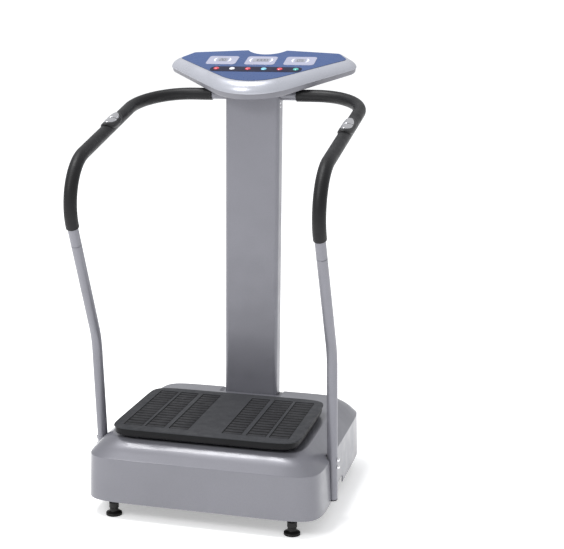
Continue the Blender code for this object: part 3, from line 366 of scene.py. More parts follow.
def circuit_board():
    """Green solder mask with copper tracks under it."""
    made = Finish("circuit_board", 0.40, Coat_Weight=0.3)
    inputs = {"Scale": 60.0, "Mortar Size": 0.03, "Vector": made.place(turn=ON_PANEL)}
    tracks = made.add("ShaderNodeTexBrick", inputs).outputs["Fac"]
    green = made.tint((0.02, 0.14, 0.06), 0.1, 20.0)
    made.colour(made.mix(tracks, green, (0.06, 0.26, 0.12)))
    made.bump(tracks, 0.0001, 0.5)
    return made.material


def ribbed_belt():
    """Woven-backed rubber belt with fine lengthwise ribs."""
    made = Finish("belt_rubber", 0.65)
    made.colour(made.tint((0.022, 0.022, 0.023), 0.15, 30.0))
    made.bump(made.waves(110.0, made.place(), direction="X"), 0.0008, 0.7)
    return made.material


def floor_paper():
    """Pale studio paper with a barely visible fibre."""
    made = Finish("floor_paper", 0.85, Emission_Color=(1, 1, 1, 1), Emission_Strength=0.38)
    made.colour(made.tint((0.96, 0.96, 0.96), 0.004, 1.5))
    made.bump(made.noise(500.0, 3.0), 0.0001, 0.3)
    return made.material


PAINTS = {
    "cover_silver": ((0.172, 0.172, 0.194), 0.36, 0.30, 0.40),
    "silver_paint": ((0.205, 0.205, 0.231), 0.40, 0.35, 0.25),
    "console_silver": ((0.42, 0.43, 0.475), 0.30, 0.35, 0.45),
}
PLASTICS = {
    "console_grey": ((0.20, 0.20, 0.225), 0.42, {}),
    "black_steel": ((0.030, 0.030, 0.033), 0.50, {"grain": 500.0, "depth": 0.0001}),
    "black_plastic": ((0.010, 0.010, 0.011), 0.40, {"specular": 0.3}),
    # The tray's own black plastic, made darker still as painted shade on its side under the mat's edge.
    "platform_black": ((0.006, 0.006, 0.007), 0.42, {"grain": 700.0, "specular": 0.15}),
    "foot_rubber": ((0.008, 0.007, 0.007), 0.40, {"grain": 700.0, "specular": 0.3}),
    "print_white": ((0.82, 0.83, 0.86), 0.35, {}),
    "print_navy": ((0.004, 0.004, 0.026), 0.40, {"specular": 0.2}),
    "print_dark": ((0.05, 0.05, 0.09), 0.40, {}),
    "switch_red": ((0.42, 0.02, 0.02), 0.32, {}),
    "button_red": ((0.62, 0.045, 0.070), 0.28, {"coat": 0.4}),
    "button_white": ((0.78, 0.78, 0.82), 0.28, {"coat": 0.4}),
    "button_cyan": ((0.20, 0.55, 0.72), 0.28, {"coat": 0.4}),
    "button_green": ((0.06, 0.42, 0.36), 0.28, {"coat": 0.4}),
}
RUBBERS = {
    "mat_rubber": ((0.036, 0.037, 0.041), (0.048, 0.049, 0.053)),
    "rib_rubber": ((0.024, 0.024, 0.027), (0.034, 0.034, 0.037)),
    # Near-black rubber for the sheets on the panel floors: painted shade in the gaps between the ribs.
    "groove_rubber": ((0.003, 0.003, 0.003), (0.005, 0.005, 0.006)),
}
METALS = {
    "chrome": ((0.80, 0.80, 0.82), 0.14, 300.0),
    "contact_plate": ((0.60, 0.60, 0.62), 0.20, 300.0),
    "bright_steel": ((0.60, 0.60, 0.62), 0.28, 900.0),
}


def make_finishes():
    made = {
        "foam": foam_skin(),
        "cast_metal": cast_iron("cast_metal", (0.28, 0.29, 0.30)),
        "blue_overlay": overlay_film(),
        "window_silver": window_film(),
        "lcd": lcd_glass(),
        "circuit_board": circuit_board(),
        "belt_rubber": ribbed_belt(),
    }
    for maker, table in ((painted, PAINTS), (mat_rubber, RUBBERS), (polished, METALS)):
        for name, values in table.items():
            made[name] = maker(name, *values)
    for name, (colour, roughness, others) in PLASTICS.items():
        made[name] = moulded(name, colour, roughness, **others)
    return made


FINISHES = make_finishes()


# ---- mesh tools


def add_object(name, data):
    made = bpy.data.objects.new(name, data)
    bpy.context.scene.collection.objects.link(made)
    return made


def piece(name, mesh, slot, finish=None, body="base", replaces=(), sharp=35):
    """Puts a finished mesh in the scene, on its body and with its material."""
    mesh.materials.clear()
    mesh.materials.append(FINISHES[finish or slot])
    mesh.shade_smooth()
    mesh.set_sharp_from_angle(angle=math.radians(sharp))
    made = add_object(name, mesh)
    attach(made, body)
    if replaces:
        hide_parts(*replaces)
    return made


def to_mesh(bm):
    bmesh.ops.recalc_face_normals(bm, faces=bm.faces[:])
    mesh = bpy.data.meshes.new("mesh")
    bm.to_mesh(mesh)
    bm.free()
    return mesh


def ring_mesh(rings, closed=False):
    """A surface through rings of equal length: capped at both ends, or closed like a torus."""
    bm = bmesh.new()
    loops = [[bm.verts.new(p) for p in ring] for ring in rings]
    pairs = list(zip(loops, loops[1:]))
    if closed:
        pairs.append((loops[-1], loops[0]))
    for low, high in pairs:
        for k in range(len(low)):
            j = (k + 1) % len(low)
            bm.faces.new((low[k], low[j], high[j], high[k]))
    if not closed:
        bm.faces.new(loops[0])
        bm.faces.new(loops[-1])
    return to_mesh(bm)


def box_mesh(low, high, bevel=0.0):
    low = Vector(low)
    high = Vector(high)
    bm = bmesh.new()
    place = Matrix.Translation((low + high) / 2) @ Matrix.Diagonal((*(high - low), 1))
    bmesh.ops.create_cube(bm, size=1, matrix=place)
    if bevel:
        bmesh.ops.bevel(bm, geom=bm.edges[:], offset=bevel, segments=3, profile=0.5, affect="EDGES")
    return to_mesh(bm)


def moved(mesh, matrix):
    mesh.transform(matrix)
    return mesh


def joined(meshes):
    """Several closed bodies in one mesh."""
    bm = bmesh.new()
    for mesh in meshes:
        bm.from_mesh(mesh)
        bpy.data.meshes.remove(mesh)
    return to_mesh(bm)


def evaluated(thing):
    """The mesh that an object gives once its modifiers are applied."""
    bpy.context.view_layer.update()
    graph = bpy.context.evaluated_depsgraph_get()
    return bpy.data.meshes.new_from_object(thing.evaluated_get(graph))


def cut(mesh, tools):
    """The mesh after cutting away each of the tools, which are used up."""
    work = [add_object("work", m) for m in (mesh, *tools)]
    for tool in work[1:]:
        step = work[0].modifiers.new("cut", "BOOLEAN")
        step.operation = "DIFFERENCE"
        step.solver = "EXACT"
        step.object = tool
    result = evaluated(work[0])
    for thing in work:
        bpy.data.objects.remove(thing)
    return result


def soften(made, width, angle=40):
    """Rounds the hard edges and keeps the flat faces flat."""
    edge = made.modifiers.new("edges", "BEVEL")
    edge.width = width
    edge.segments = 2
    edge.limit_method = "ANGLE"
    edge.angle_limit = math.radians(angle)
    edge.use_clamp_overlap = True
    flatten(made)


def flatten(made):
    """Weights normals by face size, so that large flat faces shade flat."""
    weight = made.modifiers.new("flat_faces", "WEIGHTED_NORMAL")
    weight.keep_sharp = True


def arc_points(here, back, ahead, radius, steps):
    """The arc that rounds a corner, given the unit directions to the corners beside it."""
    half = back.angle(ahead) / 2
    centre = here + (back + ahead).normalized() * (radius / math.sin(half))
    first = here + back * (radius / math.tan(half)) - centre
    last = here + ahead * (radius / math.tan(half)) - centre
    sweep = first.angle(last)
    arc = []
    for j in range(steps + 1):
        part = j / steps
        blend = first * math.sin((1 - part) * sweep) + last * math.sin(part * sweep)
        arc.append(centre + blend / math.sin(sweep))
    return arc


def rounded_path(corners, steps=12):
    """An open path through (point, radius) corners; the radius of both ends is left unused."""
    points = [Vector(corners[0][0])]
    for before, (corner, radius), after in zip(corners, corners[1:], corners[2:]):
        here = Vector(corner)
        back = (Vector(before[0]) - here).normalized()
        ahead = (Vector(after[0]) - here).normalized()
        points += arc_points(here, back, ahead, radius, steps)
    points.append(Vector(corners[-1][0]))
    return points


def rounded_corners(corners, steps=8):
    """A closed polygon whose corners (x, y, radius) are rounded by arcs."""
    points = []
    count = len(corners)
    for k, (x, y, radius) in enumerate(corners):
        here = Vector((x, y))
        back = Vector(corners[k - 1][:2]) - here
        ahead = Vector(corners[(k + 1) % count][:2]) - here
        room = 0.97 * min(back.length, ahead.length)
        radius = min(radius, room * math.tan(back.angle(ahead) / 2))
        points += arc_points(here, back.normalized(), ahead.normalized(), radius, steps)
    return points


def rounded_rectangle(half_x, half_y, radius, x=0.0, y=0.0, steps=8):
    signs = ((1, -1), (1, 1), (-1, 1), (-1, -1))
    return rounded_corners([(x + a * half_x, y + b * half_y, radius) for a, b in signs], steps)


def circle(x, y, radius, segments=40):
    turns = [2 * math.pi * k / segments for k in range(segments)]
    return [Vector((x + radius * math.cos(a), y + radius * math.sin(a))) for a in turns]


def lift(outline, z):
    return [Vector((p.x, p.y, z)) for p in outline]


def prism(outline, low, high):
    return ring_mesh([lift(outline, low), lift(outline, high)])


def slab(loops, low, high):
    """A flat plate from an outline and its holes."""
    curve = bpy.data.curves.new("outline", "CURVE")
    curve.dimensions = "2D"
    curve.fill_mode = "BOTH"
    curve.extrude = (high - low) / 2
    for loop in loops:
        spline = curve.splines.new("POLY")
        spline.points.add(len(loop) - 1)
        spline.use_cyclic_u = True
        for point, place in zip(spline.points, loop):
            point.co = (place[0], place[1], 0, 1)
    guide = add_object("outline", curve)
    mesh = evaluated(guide)
    bpy.data.objects.remove(guide)
    bm = bmesh.new()
    bm.from_mesh(mesh)
    bpy.data.meshes.remove(mesh)
    bmesh.ops.remove_doubles(bm, verts=bm.verts[:], dist=0.000001)
    bmesh.ops.translate(bm, verts=bm.verts[:], vec=(0, 0, (low + high) / 2))
    return to_mesh(bm)


def turned(profile, segments=48):
    """A solid of revolution about Z from (radius, height) points that start and end on the axis."""
    bm = bmesh.new()
    rows = []
    for radius, height in profile:
        if radius < 1e-7:
            rows.append([bm.verts.new((0, 0, height))])
        else:
            rows.append([bm.verts.new((*p, height)) for p in circle(0, 0, radius, segments)])
    for low, high in zip(rows, rows[1:]):
        for k in range(segments):
            j = (k + 1) % segments
            corners = [row[i % len(row)] for row, i in ((low, k), (low, j), (high, j), (high, k))]
            bm.faces.new(list(dict.fromkeys(corners)))
    return to_mesh(bm)


def smooth_profile(corners):
    """A turned profile whose (radius, height, rounding) corners are rounded."""
    path = rounded_path([((r, z), rounding) for r, z, rounding in corners], 5)
    return [tuple(p) for p in path]


def sideways(point, side=1):
    """The place of a thing that is made along Z and points out to one side from the given point."""
    return Matrix.Translation(point) @ Matrix.Rotation(side * math.pi / 2, 4, "Y")


def frames_along(points):
    """For each point of a path: itself, two directions across, without twist, and the distance."""
    tangents = []
    for k in range(len(points)):
        ahead = points[min(k + 1, len(points) - 1)] - points[max(k - 1, 0)]
        tangents.append(ahead.normalized())
    across = tangents[0].orthogonal().normalized()
    frames = []
    travelled = 0.0
    for k, (point, tangent) in enumerate(zip(points, tangents)):
        if k:
            across = tangents[k - 1].rotation_difference(tangent) @ across
            travelled += (point - points[k - 1]).length
        frames.append((point, across, tangent.cross(across), travelled))
    return frames


def tube(points, outer, inner, lip=0.001, sides=40):
    """A pipe along a path with rounded lips, and UVs that count metres along and around it."""
    first = (points[1] - points[0]).normalized()
    last = (points[-1] - points[-2]).normalized()
    path = [points[0], points[0] + first * lip, *points[1:-1], points[-1] - last * lip, points[-1]]
    frames = frames_along(path)
    radii = [outer - lip] + [outer] * (len(path) - 2) + [outer - lip]
    rows = list(zip(frames, radii)) + [(f, inner) for f in reversed(frames)]
    bm = bmesh.new()
    uv = bm.loops.layers.uv.new("UVMap")
    loops = []
    for (point, across, up, _), radius in rows:
        turns = [2 * math.pi * k / sides for k in range(sides)]
        ring = [point + (across * math.cos(a) + up * math.sin(a)) * radius for a in turns]
        loops.append([bm.verts.new(p) for p in ring])
    for row in range(len(rows)):
        after = (row + 1) % len(rows)
        for k in range(sides):
            j = (k + 1) % sides
            face = bm.faces.new((loops[row][k], loops[row][j], loops[after][j], loops[after][k]))
            step = 2 * math.pi * outer / sides
            marks = ((k, row), (k + 1, row), (k + 1, after), (k, after))
            for corner, (turn, place) in zip(face.loops, marks):
                corner[uv].uv = (turn * step, rows[place][0][3])
    return to_mesh(bm)


# ---- base


def rays(bands=()):
    """Directions round a square from its lower right corner, closer near corners and in bands."""
    steps = {k * 0.1 for k in range(-7, 8)}
    steps |= {side * (0.7 + k * 0.02) for side in (-1, 1) for k in range(1, 16)}
    plain = sorted(steps - {1.0})
    for low, high in bands:
        count = round((high - low) / BAND_STEP)
        steps |= {low + (high - low) * k / count for k in range(count + 1)}
    dense = sorted(steps - {1.0})
    right = [(1, u) for u in dense]
    rear = [(-u, 1) for u in plain]
    left = [(-1, v) for v in [-plain[0]] + [u for u in reversed(dense) if abs(u) < 1]]
    front = [(u, -1) for u in plain]
    return right + rear + left + front


def superellipse(half_x, half_y, power, z, centre_y, directions):
    ring = []
    for dx, dy in directions:
        reach = (abs(dx) ** power + abs(dy) ** power) ** (-1 / power)
        ring.append(Vector((half_x * dx * reach, centre_y + half_y * dy * reach, z)))
    return ring


def smooth_step(value):
    value = min(1.0, max(0.0, value))
    return value * value * (3 - 2 * value)


def grooved(point, wall_x, half):
    """The point pushed in to the wall of the groove that the handle's foot stands and leans in."""
    away = abs(point.y - on_run(HANDLE_KNEE, HANDLE_FOOT, point.z).y)
    share = smooth_step((half + GROOVE_LIP - away) / GROOVE_LIP)
    excess = max(0.0, abs(point.x) - wall_x)
    return Vector((point.x - math.copysign(share * excess, point.x), point.y, point.z))


def cover_rings(profile, inset, directions):
    """Rings of the cover from (inset, height) points of its side. Only the sides have draft."""
    slant = PLATEAU_INSET[1] / (PLATEAU_INSET[0] - BASE_DRAFT)
    rings = []
    for step_in, z in profile:
        half_x = BASE_HALF.x - inset - step_in
        half_y = BASE_HALF.y - inset - max(0.0, step_in - BASE_DRAFT) * slant
        ring = superellipse(half_x, half_y, COVER_POWER, z, BASE_Y, directions)
        rings.append([grooved(p, GROOVE_X - inset, GROOVE_HALF + inset) for p in ring])
    return rings


def subdivided(points, longest):
    """The same path, with no stretch longer than the given length."""
    made = [points[0]]
    for point in points[1:]:
        start = made[-1]
        count = max(1, math.ceil((point - start).length / longest))
        made += [start.lerp(point, (k + 1) / count) for k in range(count)]
    return made


def cover_profile():
    """The cover's side from its lower edge, up the skirt and over the shoulder to the flat top."""
    crease_z = PLATEAU_Z - CREASE_DROP
    corners = [
        ((SKIRT_LIP, SKIRT_BOTTOM), 0),
        ((0, SKIRT_BOTTOM), SKIRT_LIP * 0.9),
        ((BASE_DRAFT, crease_z), CREASE_RADIUS),
        ((BASE_DRAFT + SHOULDER[0], crease_z + SHOULDER[1]), SHOULDER_RADIUS),
        ((PLATEAU_INSET[0], PLATEAU_Z), PLATEAU_RADIUS),
        ((PLATEAU_INSET[0] + 2 * PLATEAU_RADIUS, PLATEAU_Z), 0),
    ]
    return subdivided([Vector(p) for p in rounded_path(corners, 7)], 0.004)


def pocket_mesh(grow):
    """The cutter for the shallow pocket round the column: walls at 45 degrees, open to the rear."""
    shift = grow * (math.sqrt(2) - 1)
    rings = []
    for climb in (0, 0.05):
        half_x = POCKET_HALF - POCKET_DEPTH + shift + climb
        front = CROSS.y - COLUMN_HALF[1] - POCKET_FRONT - shift - climb
        outline = rounded_rectangle(half_x, 0.15, 0.004, 0, front + 0.15)
        rings.append(lift(outline, PLATEAU_Z - POCKET_DEPTH - grow + climb))
    return ring_mesh(rings)


def cover_tools():
    """Cutters for the platform drive, column, inlet and lifting notches."""
    low = PLATEAU_Z - 0.05
    high = PLATEAU_Z + 0.03
    opening = rounded_rectangle(*PLATE_OPENING, 0.006, 0, PLATE_Y)
    half = [size + 0.001 for size in COLUMN_HALF]
    column = rounded_rectangle(*half, COLUMN_CORNER, 0, CROSS.y)
    inlet = Vector((middle("power_inlet").x, BASE_Y + BASE_HALF.y, middle("power_inlet").z))
    reach = Vector((INLET_HALF[0], 0.02, INLET_HALF[1]))
    tools = [prism(opening, low, high), prism(column, low, high), box_mesh(inlet - reach, inlet + reach)]
    notch = rounded_rectangle(NOTCH_HALF[0], NOTCH_HALF[1], 0.008, NOTCH_Y, NOTCH_TOP - NOTCH_HALF[1])
    to_side = Matrix(((0, 0, 1, 0), (1, 0, 0, 0), (0, 1, 0, 0), (0, 0, 0, 1)))
    for side, _ in SIDES:
        ends = sorted((side * (BASE_HALF.x - 0.03), side * (BASE_HALF.x + 0.03)))
        tools.append(moved(prism(notch, *ends), to_side))
    return tools


def build_cover():
    edge = (GROOVE_HALF + WALL + GROOVE_LIP) / BASE_HALF.y + 0.012
    run = [on_run(HANDLE_KNEE, HANDLE_FOOT, z).y for z in (GROOVE_TOP, SKIRT_BOTTOM)]
    top, foot = ((y - BASE_Y) / BASE_HALF.y for y in run)
    directions = rays([(top - edge, foot + edge)])
    profile = cover_profile()
    inside = [Vector((0, SKIRT_BOTTOM - 0.01))]
    inside += [Vector((p[0], p[1] - WALL * 0.6)) for p in profile if p[1] > SKIRT_BOTTOM + 0.01]
    outer = cut(ring_mesh(cover_rings(profile, 0, directions)), [pocket_mesh(0)])
    inner = cut(ring_mesh(cover_rings(inside, WALL, directions)), [pocket_mesh(WALL)])
    mesh = cut(outer, [inner] + cover_tools())
    flatten(piece("cover_shell", mesh, "cover_silver", replaces=["base_cover"], sharp=28))


def foot_pad_profile(radius, top):
    """A flared disc with a groove round its edge, under a waist and a collar, hollow for the screw."""
    hole = 0.0053
    collar = 0.0135
    groove = radius - 0.0012
    return smooth_profile([
        (0, 0.011, 0), (hole, 0.011, 0.0001), (hole, top, 0.0005), (collar, top, 0.0015),
        (collar, 0.0215, 0.0012), (collar - 0.0018, 0.0195, 0.0030), (collar - 0.0005, 0.0120, 0.0040),
        (radius, 0.0068, 0.0016), (radius, 0.0040, 0.0006), (groove, 0.0034, 0.0004),
        (groove, 0.0026, 0.0004), (radius, 0.0020, 0.0004), (radius, 0, 0.0008), (0, 0, 0),
    ])


def build_feet():
    for _, word in SIDES:
        for _, way in ENDS:
            corner = f"{way}_{word}"
            body = "foot_" + corner
            pad_node = "foot_pad_" + corner
            stem_node = "foot_stem_" + corner
            place = Matrix.Translation((middle(pad_node).x, middle(pad_node).y, 0))
            profile = foot_pad_profile(half_size(pad_node).x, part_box(pad_node)[1].z)
            pad = moved(turned(profile), place)
            piece("pad_" + body, pad, "foot_rubber", body=body, replaces=[pad_node])
            low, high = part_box(stem_node)
            stem = moved(threaded_stem(low.z, high.z), place)
            piece("stem_" + body, stem, "chrome", body=body, replaces=[stem_node], sharp=50)


def threaded_stem(low, high):
    """A screw's plain start and its thread, as fine grooves."""
    root = STEM_RADIUS - THREAD_DEPTH
    profile = [(0, low), (root, low)]
    for k in range(int((high - low - 0.003) / THREAD_PITCH)):
        z = low + 0.001 + k * THREAD_PITCH
        profile.append((root, z))
        profile.append((STEM_RADIUS, z + THREAD_PITCH * 0.35))
        profile.append((STEM_RADIUS, z + THREAD_PITCH * 0.55))
    profile += [(root, high - 0.0015), (root - THREAD_DEPTH, high), (0, high)]
    return turned(profile, 24)


# ---- platform


def plate_rings(levels):
    """Rings of the platform's outline from (inset, height) levels."""
    directions = rays()
    return [
        superellipse(PLATE_HALF.x - inset, PLATE_HALF.y - inset, PLATE_POWER, z, PLATE_Y, directions)
        for inset, z in levels
    ]


def rib_mesh(x, y, half_x, half_y, low, high):
    """A low bar across a mat panel, with rounded shoulders and tapered ends."""
    rings = []
    for place, fall, narrow in ((-1, 0.55, 0.7), (-0.94, 0.0, 1.0), (0.94, 0.0, 1.0), (1, 0.55, 0.7)):
        top = high - fall * (high - low)
        near = [(-1.0, low), (-0.92, low * 0.4 + top * 0.6), (-0.55, top)]
        section = near + [(-a, z) for a, z in reversed(near)]
        rings.append([Vector((x + place * half_x, y + a * half_y * narrow, z)) for a, z in section])
    return ring_mesh(rings)


def build_mat():
    low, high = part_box("rubber_mat")
    edge = rounded_path([((0, low.z), 0), ((0, high.z), MAT_EDGE), ((0.02, high.z), 0)], 6)
    levels = [(MAT_LIP, low.z), (0, low.z + MAT_LIP)] + [tuple(p) for p in edge[1:]]
    pockets = []
    groove_shade_sheets = []
    ribs = []
    pitch = 2 * PANEL_HALF[1] / RIBS
    floor = high.z - PANEL_DEPTH
    for x in [side * x for side, _ in SIDES for x in PANEL_X]:
        outline = rounded_rectangle(*PANEL_HALF, 0.004, x, PLATE_Y)
        pockets.append(prism(outline, floor, high.z + 0.01))
        # A thin near-black sheet on each panel's floor: painted shade that darkens the gaps between the
        # ribs.
        shade_outline = rounded_rectangle(PANEL_HALF[0] - GAP, PANEL_HALF[1] - GAP, 0.0037, x, PLATE_Y)
        groove_shade_sheets.append(prism(shade_outline, floor + 0.00002, floor + GAP))
        for k in range(RIBS):
            y = PLATE_Y - PANEL_HALF[1] + pitch * (k + 0.5)
            half = (PANEL_HALF[0] - RIB_INSET, pitch * RIB_SHARE)
            ribs.append(rib_mesh(x, y, *half, floor + GAP + 0.00002, high.z - GAP))
    body = "rocking_platform"
    mesh = cut(ring_mesh(plate_rings(levels)), pockets)
    soften(piece("mat_body", mesh, "mat_rubber", body=body, replaces=["rubber_mat"]), MAT_LIP, 50)
    piece("mat_ribs", joined(ribs), "mat_rubber", "rib_rubber", body, sharp=60)
    piece("mat_groove_painted_shade", joined(groove_shade_sheets), "mat_rubber", "groove_rubber", body)


def build_tray():
    low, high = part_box("platform")
    edge = rounded_path([((0.02, low.z), 0), ((0, low.z), 0.006), ((0, high.z), 0)], 8)
    mesh = ring_mesh(plate_rings([(p[0] + TRAY_INSET, p[1]) for p in edge]))
    # Its finish is partly the tray's own black and partly painted shade on its side.
    piece("platform_tray", mesh, "platform_black", body="rocking_platform", replaces=["platform"])


# ---- column and handles


def build_column():
    """The column's rectangular tube on its foot plate, with a screw pair on each side."""
    low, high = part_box("column")
    outer = rounded_rectangle(*COLUMN_HALF, COLUMN_CORNER, 0, CROSS.y, 12)
    half = [size - COLUMN_WALL for size in COLUMN_HALF]
    inner = rounded_rectangle(*half, COLUMN_CORNER - COLUMN_WALL, 0, CROSS.y, 12)
    bottom = low.z + 0.002
    rings = [lift(outer, bottom), lift(outer, high.z), lift(inner, high.z), lift(inner, bottom)]
    bore = prism(circle(0, 0, TUBE_RADIUS + GAP), -0.1, 0.1)
    mesh = cut(ring_mesh(rings, closed=True), [moved(bore, sideways((0, CROSS.y, CROSS.z)))])
    flatten(piece("column_tube", mesh, "silver_paint", replaces=["column"]))
    plate = box_mesh(low, (high.x, high.y, low.z + 0.0018), 0.0005)
    piece("column_foot", plate, "silver_paint")
    for side, word in SIDES:
        for k, drop in enumerate(SCREW_DROPS):
            x = side * (COLUMN_HALF[0] + 0.00002)
            place = sideways((x, CROSS.y - 0.010, CROSS.z - drop), side)
            head = moved(turned(smooth_profile(SCREW_HEAD), 24), place)
            piece(f"column_screw_{word}_{k + 1}", head, "chrome")


def on_run(upper, lower, z):
    """The point at a height on the straight run between two of the handle's corners."""
    return lower.lerp(upper, (z - lower.z) / (upper.z - lower.z))


def mirrored(point, side):
    return Vector((side * point.x, point.y, point.z))


def handle_route(side):
    """The (point, radius) corners of a handle's middle line, from the cross tube to its foot."""
    start = Vector((STUB_END_X + GAP, CROSS.y, CROSS.z))
    bends = list(zip((HANDLE_TOP, HANDLE_BEND, HANDLE_KNEE), BEND_RADII))
    corners = [(start, 0), *bends, (HANDLE_FOOT, 0)]
    return [(mirrored(point, side), radius) for point, radius in corners]


def build_handles():
    ends = [Vector((x, CROSS.y, CROSS.z)) for x in (-STUB_END_X, STUB_END_X)]
    bar = tube(ends, TUBE_RADIUS, TUBE_BORE, 0.0008)
    piece("cross_bar", bar, "silver_paint", replaces=["cross_tube"])
    for side, word in SIDES:
        route = handle_route(side)
        seam, below, foam_end = (
            (mirrored(on_run(HANDLE_BEND, HANDLE_KNEE, z), side), 0)
            for z in (SEAM_Z, SEAM_Z - GAP, FOAM_END_Z)
        )
        lengths = {
            "upper": rounded_path(route[:3] + [seam], 20),
            "lower": rounded_path([below] + route[3:], 24),
        }
        for part, path in lengths.items():
            mesh = tube(path, TUBE_RADIUS, TUBE_BORE)
            node = f"{part}_tube_{word}"
            piece(f"handle_{part}_{word}", mesh, "silver_paint", replaces=[node])
        grip_path = rounded_path(route[:3] + [foam_end], 20)
        foam = tube(grip_path, FOAM_RADIUS, TUBE_RADIUS + GAP, 0.0012, 48)
        grip = piece("grip_" + word, foam, "foam", replaces=["foam_grip_" + word])
        build_foot_plug(side, word)
        build_sensor(side, word)
        build_bolts(side, word)


def build_foot_plug(side, word):
    """The black plug in the open end of the handle's foot."""
    along = (HANDLE_FOOT - HANDLE_KNEE).normalized()
    radius = TUBE_BORE - GAP
    profile = smooth_profile([
        (0, 0.0034, 0), (TUBE_RADIUS, 0.0030, 0.0016), (TUBE_RADIUS, 0.0002, 0.0002),
        (radius, 0.0002, 0.0001), (radius, -0.008, 0.0005), (0, -0.008, 0),
    ])
    turn = along.to_track_quat("Z", "Y").to_matrix().to_4x4()
    plug = moved(turned(profile), Matrix.Translation(mirrored(HANDLE_FOOT, side)) @ turn)
    piece("handle_plug_" + word, plug, "silver_paint", "black_plastic")


def build_bolts(side, word):
    """Domed chrome bolts with a round socket."""
    for k in ("upper", "lower"):
        node = f"handle_bolt_{word}_{k}"
        low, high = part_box(node)
        centre = middle(node)
        reach = HANDLE_FOOT.x + TUBE_RADIUS + GAP
        tip = min(abs(low.x), abs(high.x)) - reach
        profile = smooth_profile([
            (0, 0.0034, 0), (0.0015, 0.0034, 0.0002), (0.0018, 0.0060, 0.0004),
            (0.0042, 0.0046, 0.0018), (BOLT_HEAD, 0.0002, 0.0006), (BOLT_HEAD, 0, 0.00005),
            (BOLT_SHANK, 0, 0.00005), (BOLT_SHANK, tip, 0.0004), (0, tip, 0),
        ])
        bolt = moved(turned(profile, 32), sideways((side * reach, centre.y, centre.z), side))
        piece(f"bolt_{word}_{k}", bolt, "chrome", replaces=[node])


def leaf(along):
    """The sensor's width at a place along it, from 0 at the tips to 1 in the middle."""
    return math.sqrt(max(0.0, 1 - abs(along) ** 2.4))


def grip_frame(side, y):
    """A place on the grip's straight run, and the directions to its right, out of its top and along."""
    top = mirrored(HANDLE_TOP, side)
    bend = mirrored(HANDLE_BEND, side)
    along = (top - bend).normalized()
    right = along.cross(Vector((0, 0, 1))).normalized()
    return bend.lerp(top, (y - bend.y) / (top.y - bend.y)), right, right.cross(along), along


def over_grip(grip, along, turn, radius):
    """A point over the grip, at an angle from its top and a radius from its middle."""
    centre, right, up, forward = grip
    return centre + forward * along + (up * math.cos(turn) + right * math.sin(turn)) * radius


def saddle_reach(across, split):
    """How far a saddle reaches along the grip, from its tips or from the gap of a split one."""
    if not split:
        return -0.999, 0.999
    side, gap = split
    line = 0.16 * (across * across - 0.5) + 0.10 * across
    return (-0.999, line - gap) if side < 0 else (line + gap, 0.999)


def saddle(grip, half, half_angle, low, high, split=None):
    """A closed leaf-shaped pad over the grip, from its under radius to its crowned top.

    A split is (side, gap): only that side of the leaf's curved middle line is kept.
    """
    bm = bmesh.new()
    top = []
    bottom = []
    for row in range(SADDLE_ROWS + 1):
        part = row / SADDLE_ROWS
        ease = 0.5 - 0.5 * math.cos(math.pi * part)
        top.append([])
        bottom.append([])
        for column in range(SADDLE_COLUMNS + 1):
            across = 2 * column / SADDLE_COLUMNS - 1
            start, end = saddle_reach(across, split)
            along = start + (end - start) * ease
            turn = half_angle * leaf(along) * across
            crown = (1 - abs(across) ** 4) * (1 - abs(2 * part - 1) ** 6)
            radius = low + (high - low) * (0.12 + 0.88 * crown ** 0.5)
            top[row].append(bm.verts.new(over_grip(grip, along * half, turn, radius)))
            bottom[row].append(bm.verts.new(over_grip(grip, along * half, turn, low)))
    for row in range(SADDLE_ROWS):
        for column in range(SADDLE_COLUMNS):
            for sheet in (top, bottom):
                near = sheet[row][column:column + 2]
                far = sheet[row + 1][column:column + 2]
                bm.faces.new((*near, *reversed(far)))
    edge = [(0, c) for c in range(SADDLE_COLUMNS)]
    edge += [(r, SADDLE_COLUMNS) for r in range(SADDLE_ROWS)]
    edge += [(SADDLE_ROWS, c) for c in range(SADDLE_COLUMNS, 0, -1)]
    edge += [(r, 0) for r in range(SADDLE_ROWS, 0, -1)]
    for (r1, c1), (r2, c2) in zip(edge, edge[1:] + edge[:1]):
        bm.faces.new((top[r1][c1], top[r2][c2], bottom[r2][c2], bottom[r1][c1]))
    return to_mesh(bm)


def build_sensor(side, word):
    """The pulse sensor: a black saddle on the grip, and two contact plates with a gap between."""
    skin = FOAM_RADIUS + GAP
    place = grip_frame(side, SENSOR_Y)
    housing = saddle(place, SENSOR_HALF, math.radians(92), skin, skin + 0.0042)
    node = "sensor_housing_" + word
    piece("pulse_housing_" + word, housing, "black_plastic", replaces=[node], sharp=60)
    place = grip_frame(side, SENSOR_Y + 0.003)
    half = SENSOR_HALF - 0.012
    for way, name in ENDS:
        plate = saddle(place, half, math.radians(46), skin + 0.0030, skin + 0.0060, (way, 0.06))
        node = f"sensor_plate_{name}_{word}"
        piece(f"pulse_plate_{name}_{word}", plate, "chrome", "contact_plate", replaces=[node], sharp=60)


# ---- console


def grown_corners(corners, distance):
    """The corners (x, y, radius) of an anticlockwise outline moved outward by a distance."""
    grown = []
    count = len(corners)
    for k, (x, y, radius) in enumerate(corners):
        here = Vector((x, y))
        along = (here - Vector(corners[k - 1][:2])).normalized()
        ahead = (Vector(corners[(k + 1) % count][:2]) - here).normalized()
        bend = along.x * ahead.y - along.y * ahead.x
        corner = here + (along - ahead) * (distance / bend)
        radius = max(0.0015, radius + math.copysign(distance, bend * distance))
        grown.append((corner.x, corner.y, radius))
    return grown


def console_outline(part, grow=0.0):
    """The console's outline between the panel's edge (part 0) and the rim (part 1)."""
    right = []
    for panel, rim in zip(PANEL_CORNERS, RIM_CORNERS):
        right.append(tuple(a + (b - a) * part for a, b in zip(panel, rim)))
    left = [(-x, s, radius) for x, s, radius in reversed(right[1:])]
    return rounded_corners(grown_corners(right + [NOTCH_CORNER] + left, grow), 14)


def console_ring(part, n, grow=0.0):
    return lift(console_outline(part, grow), n)


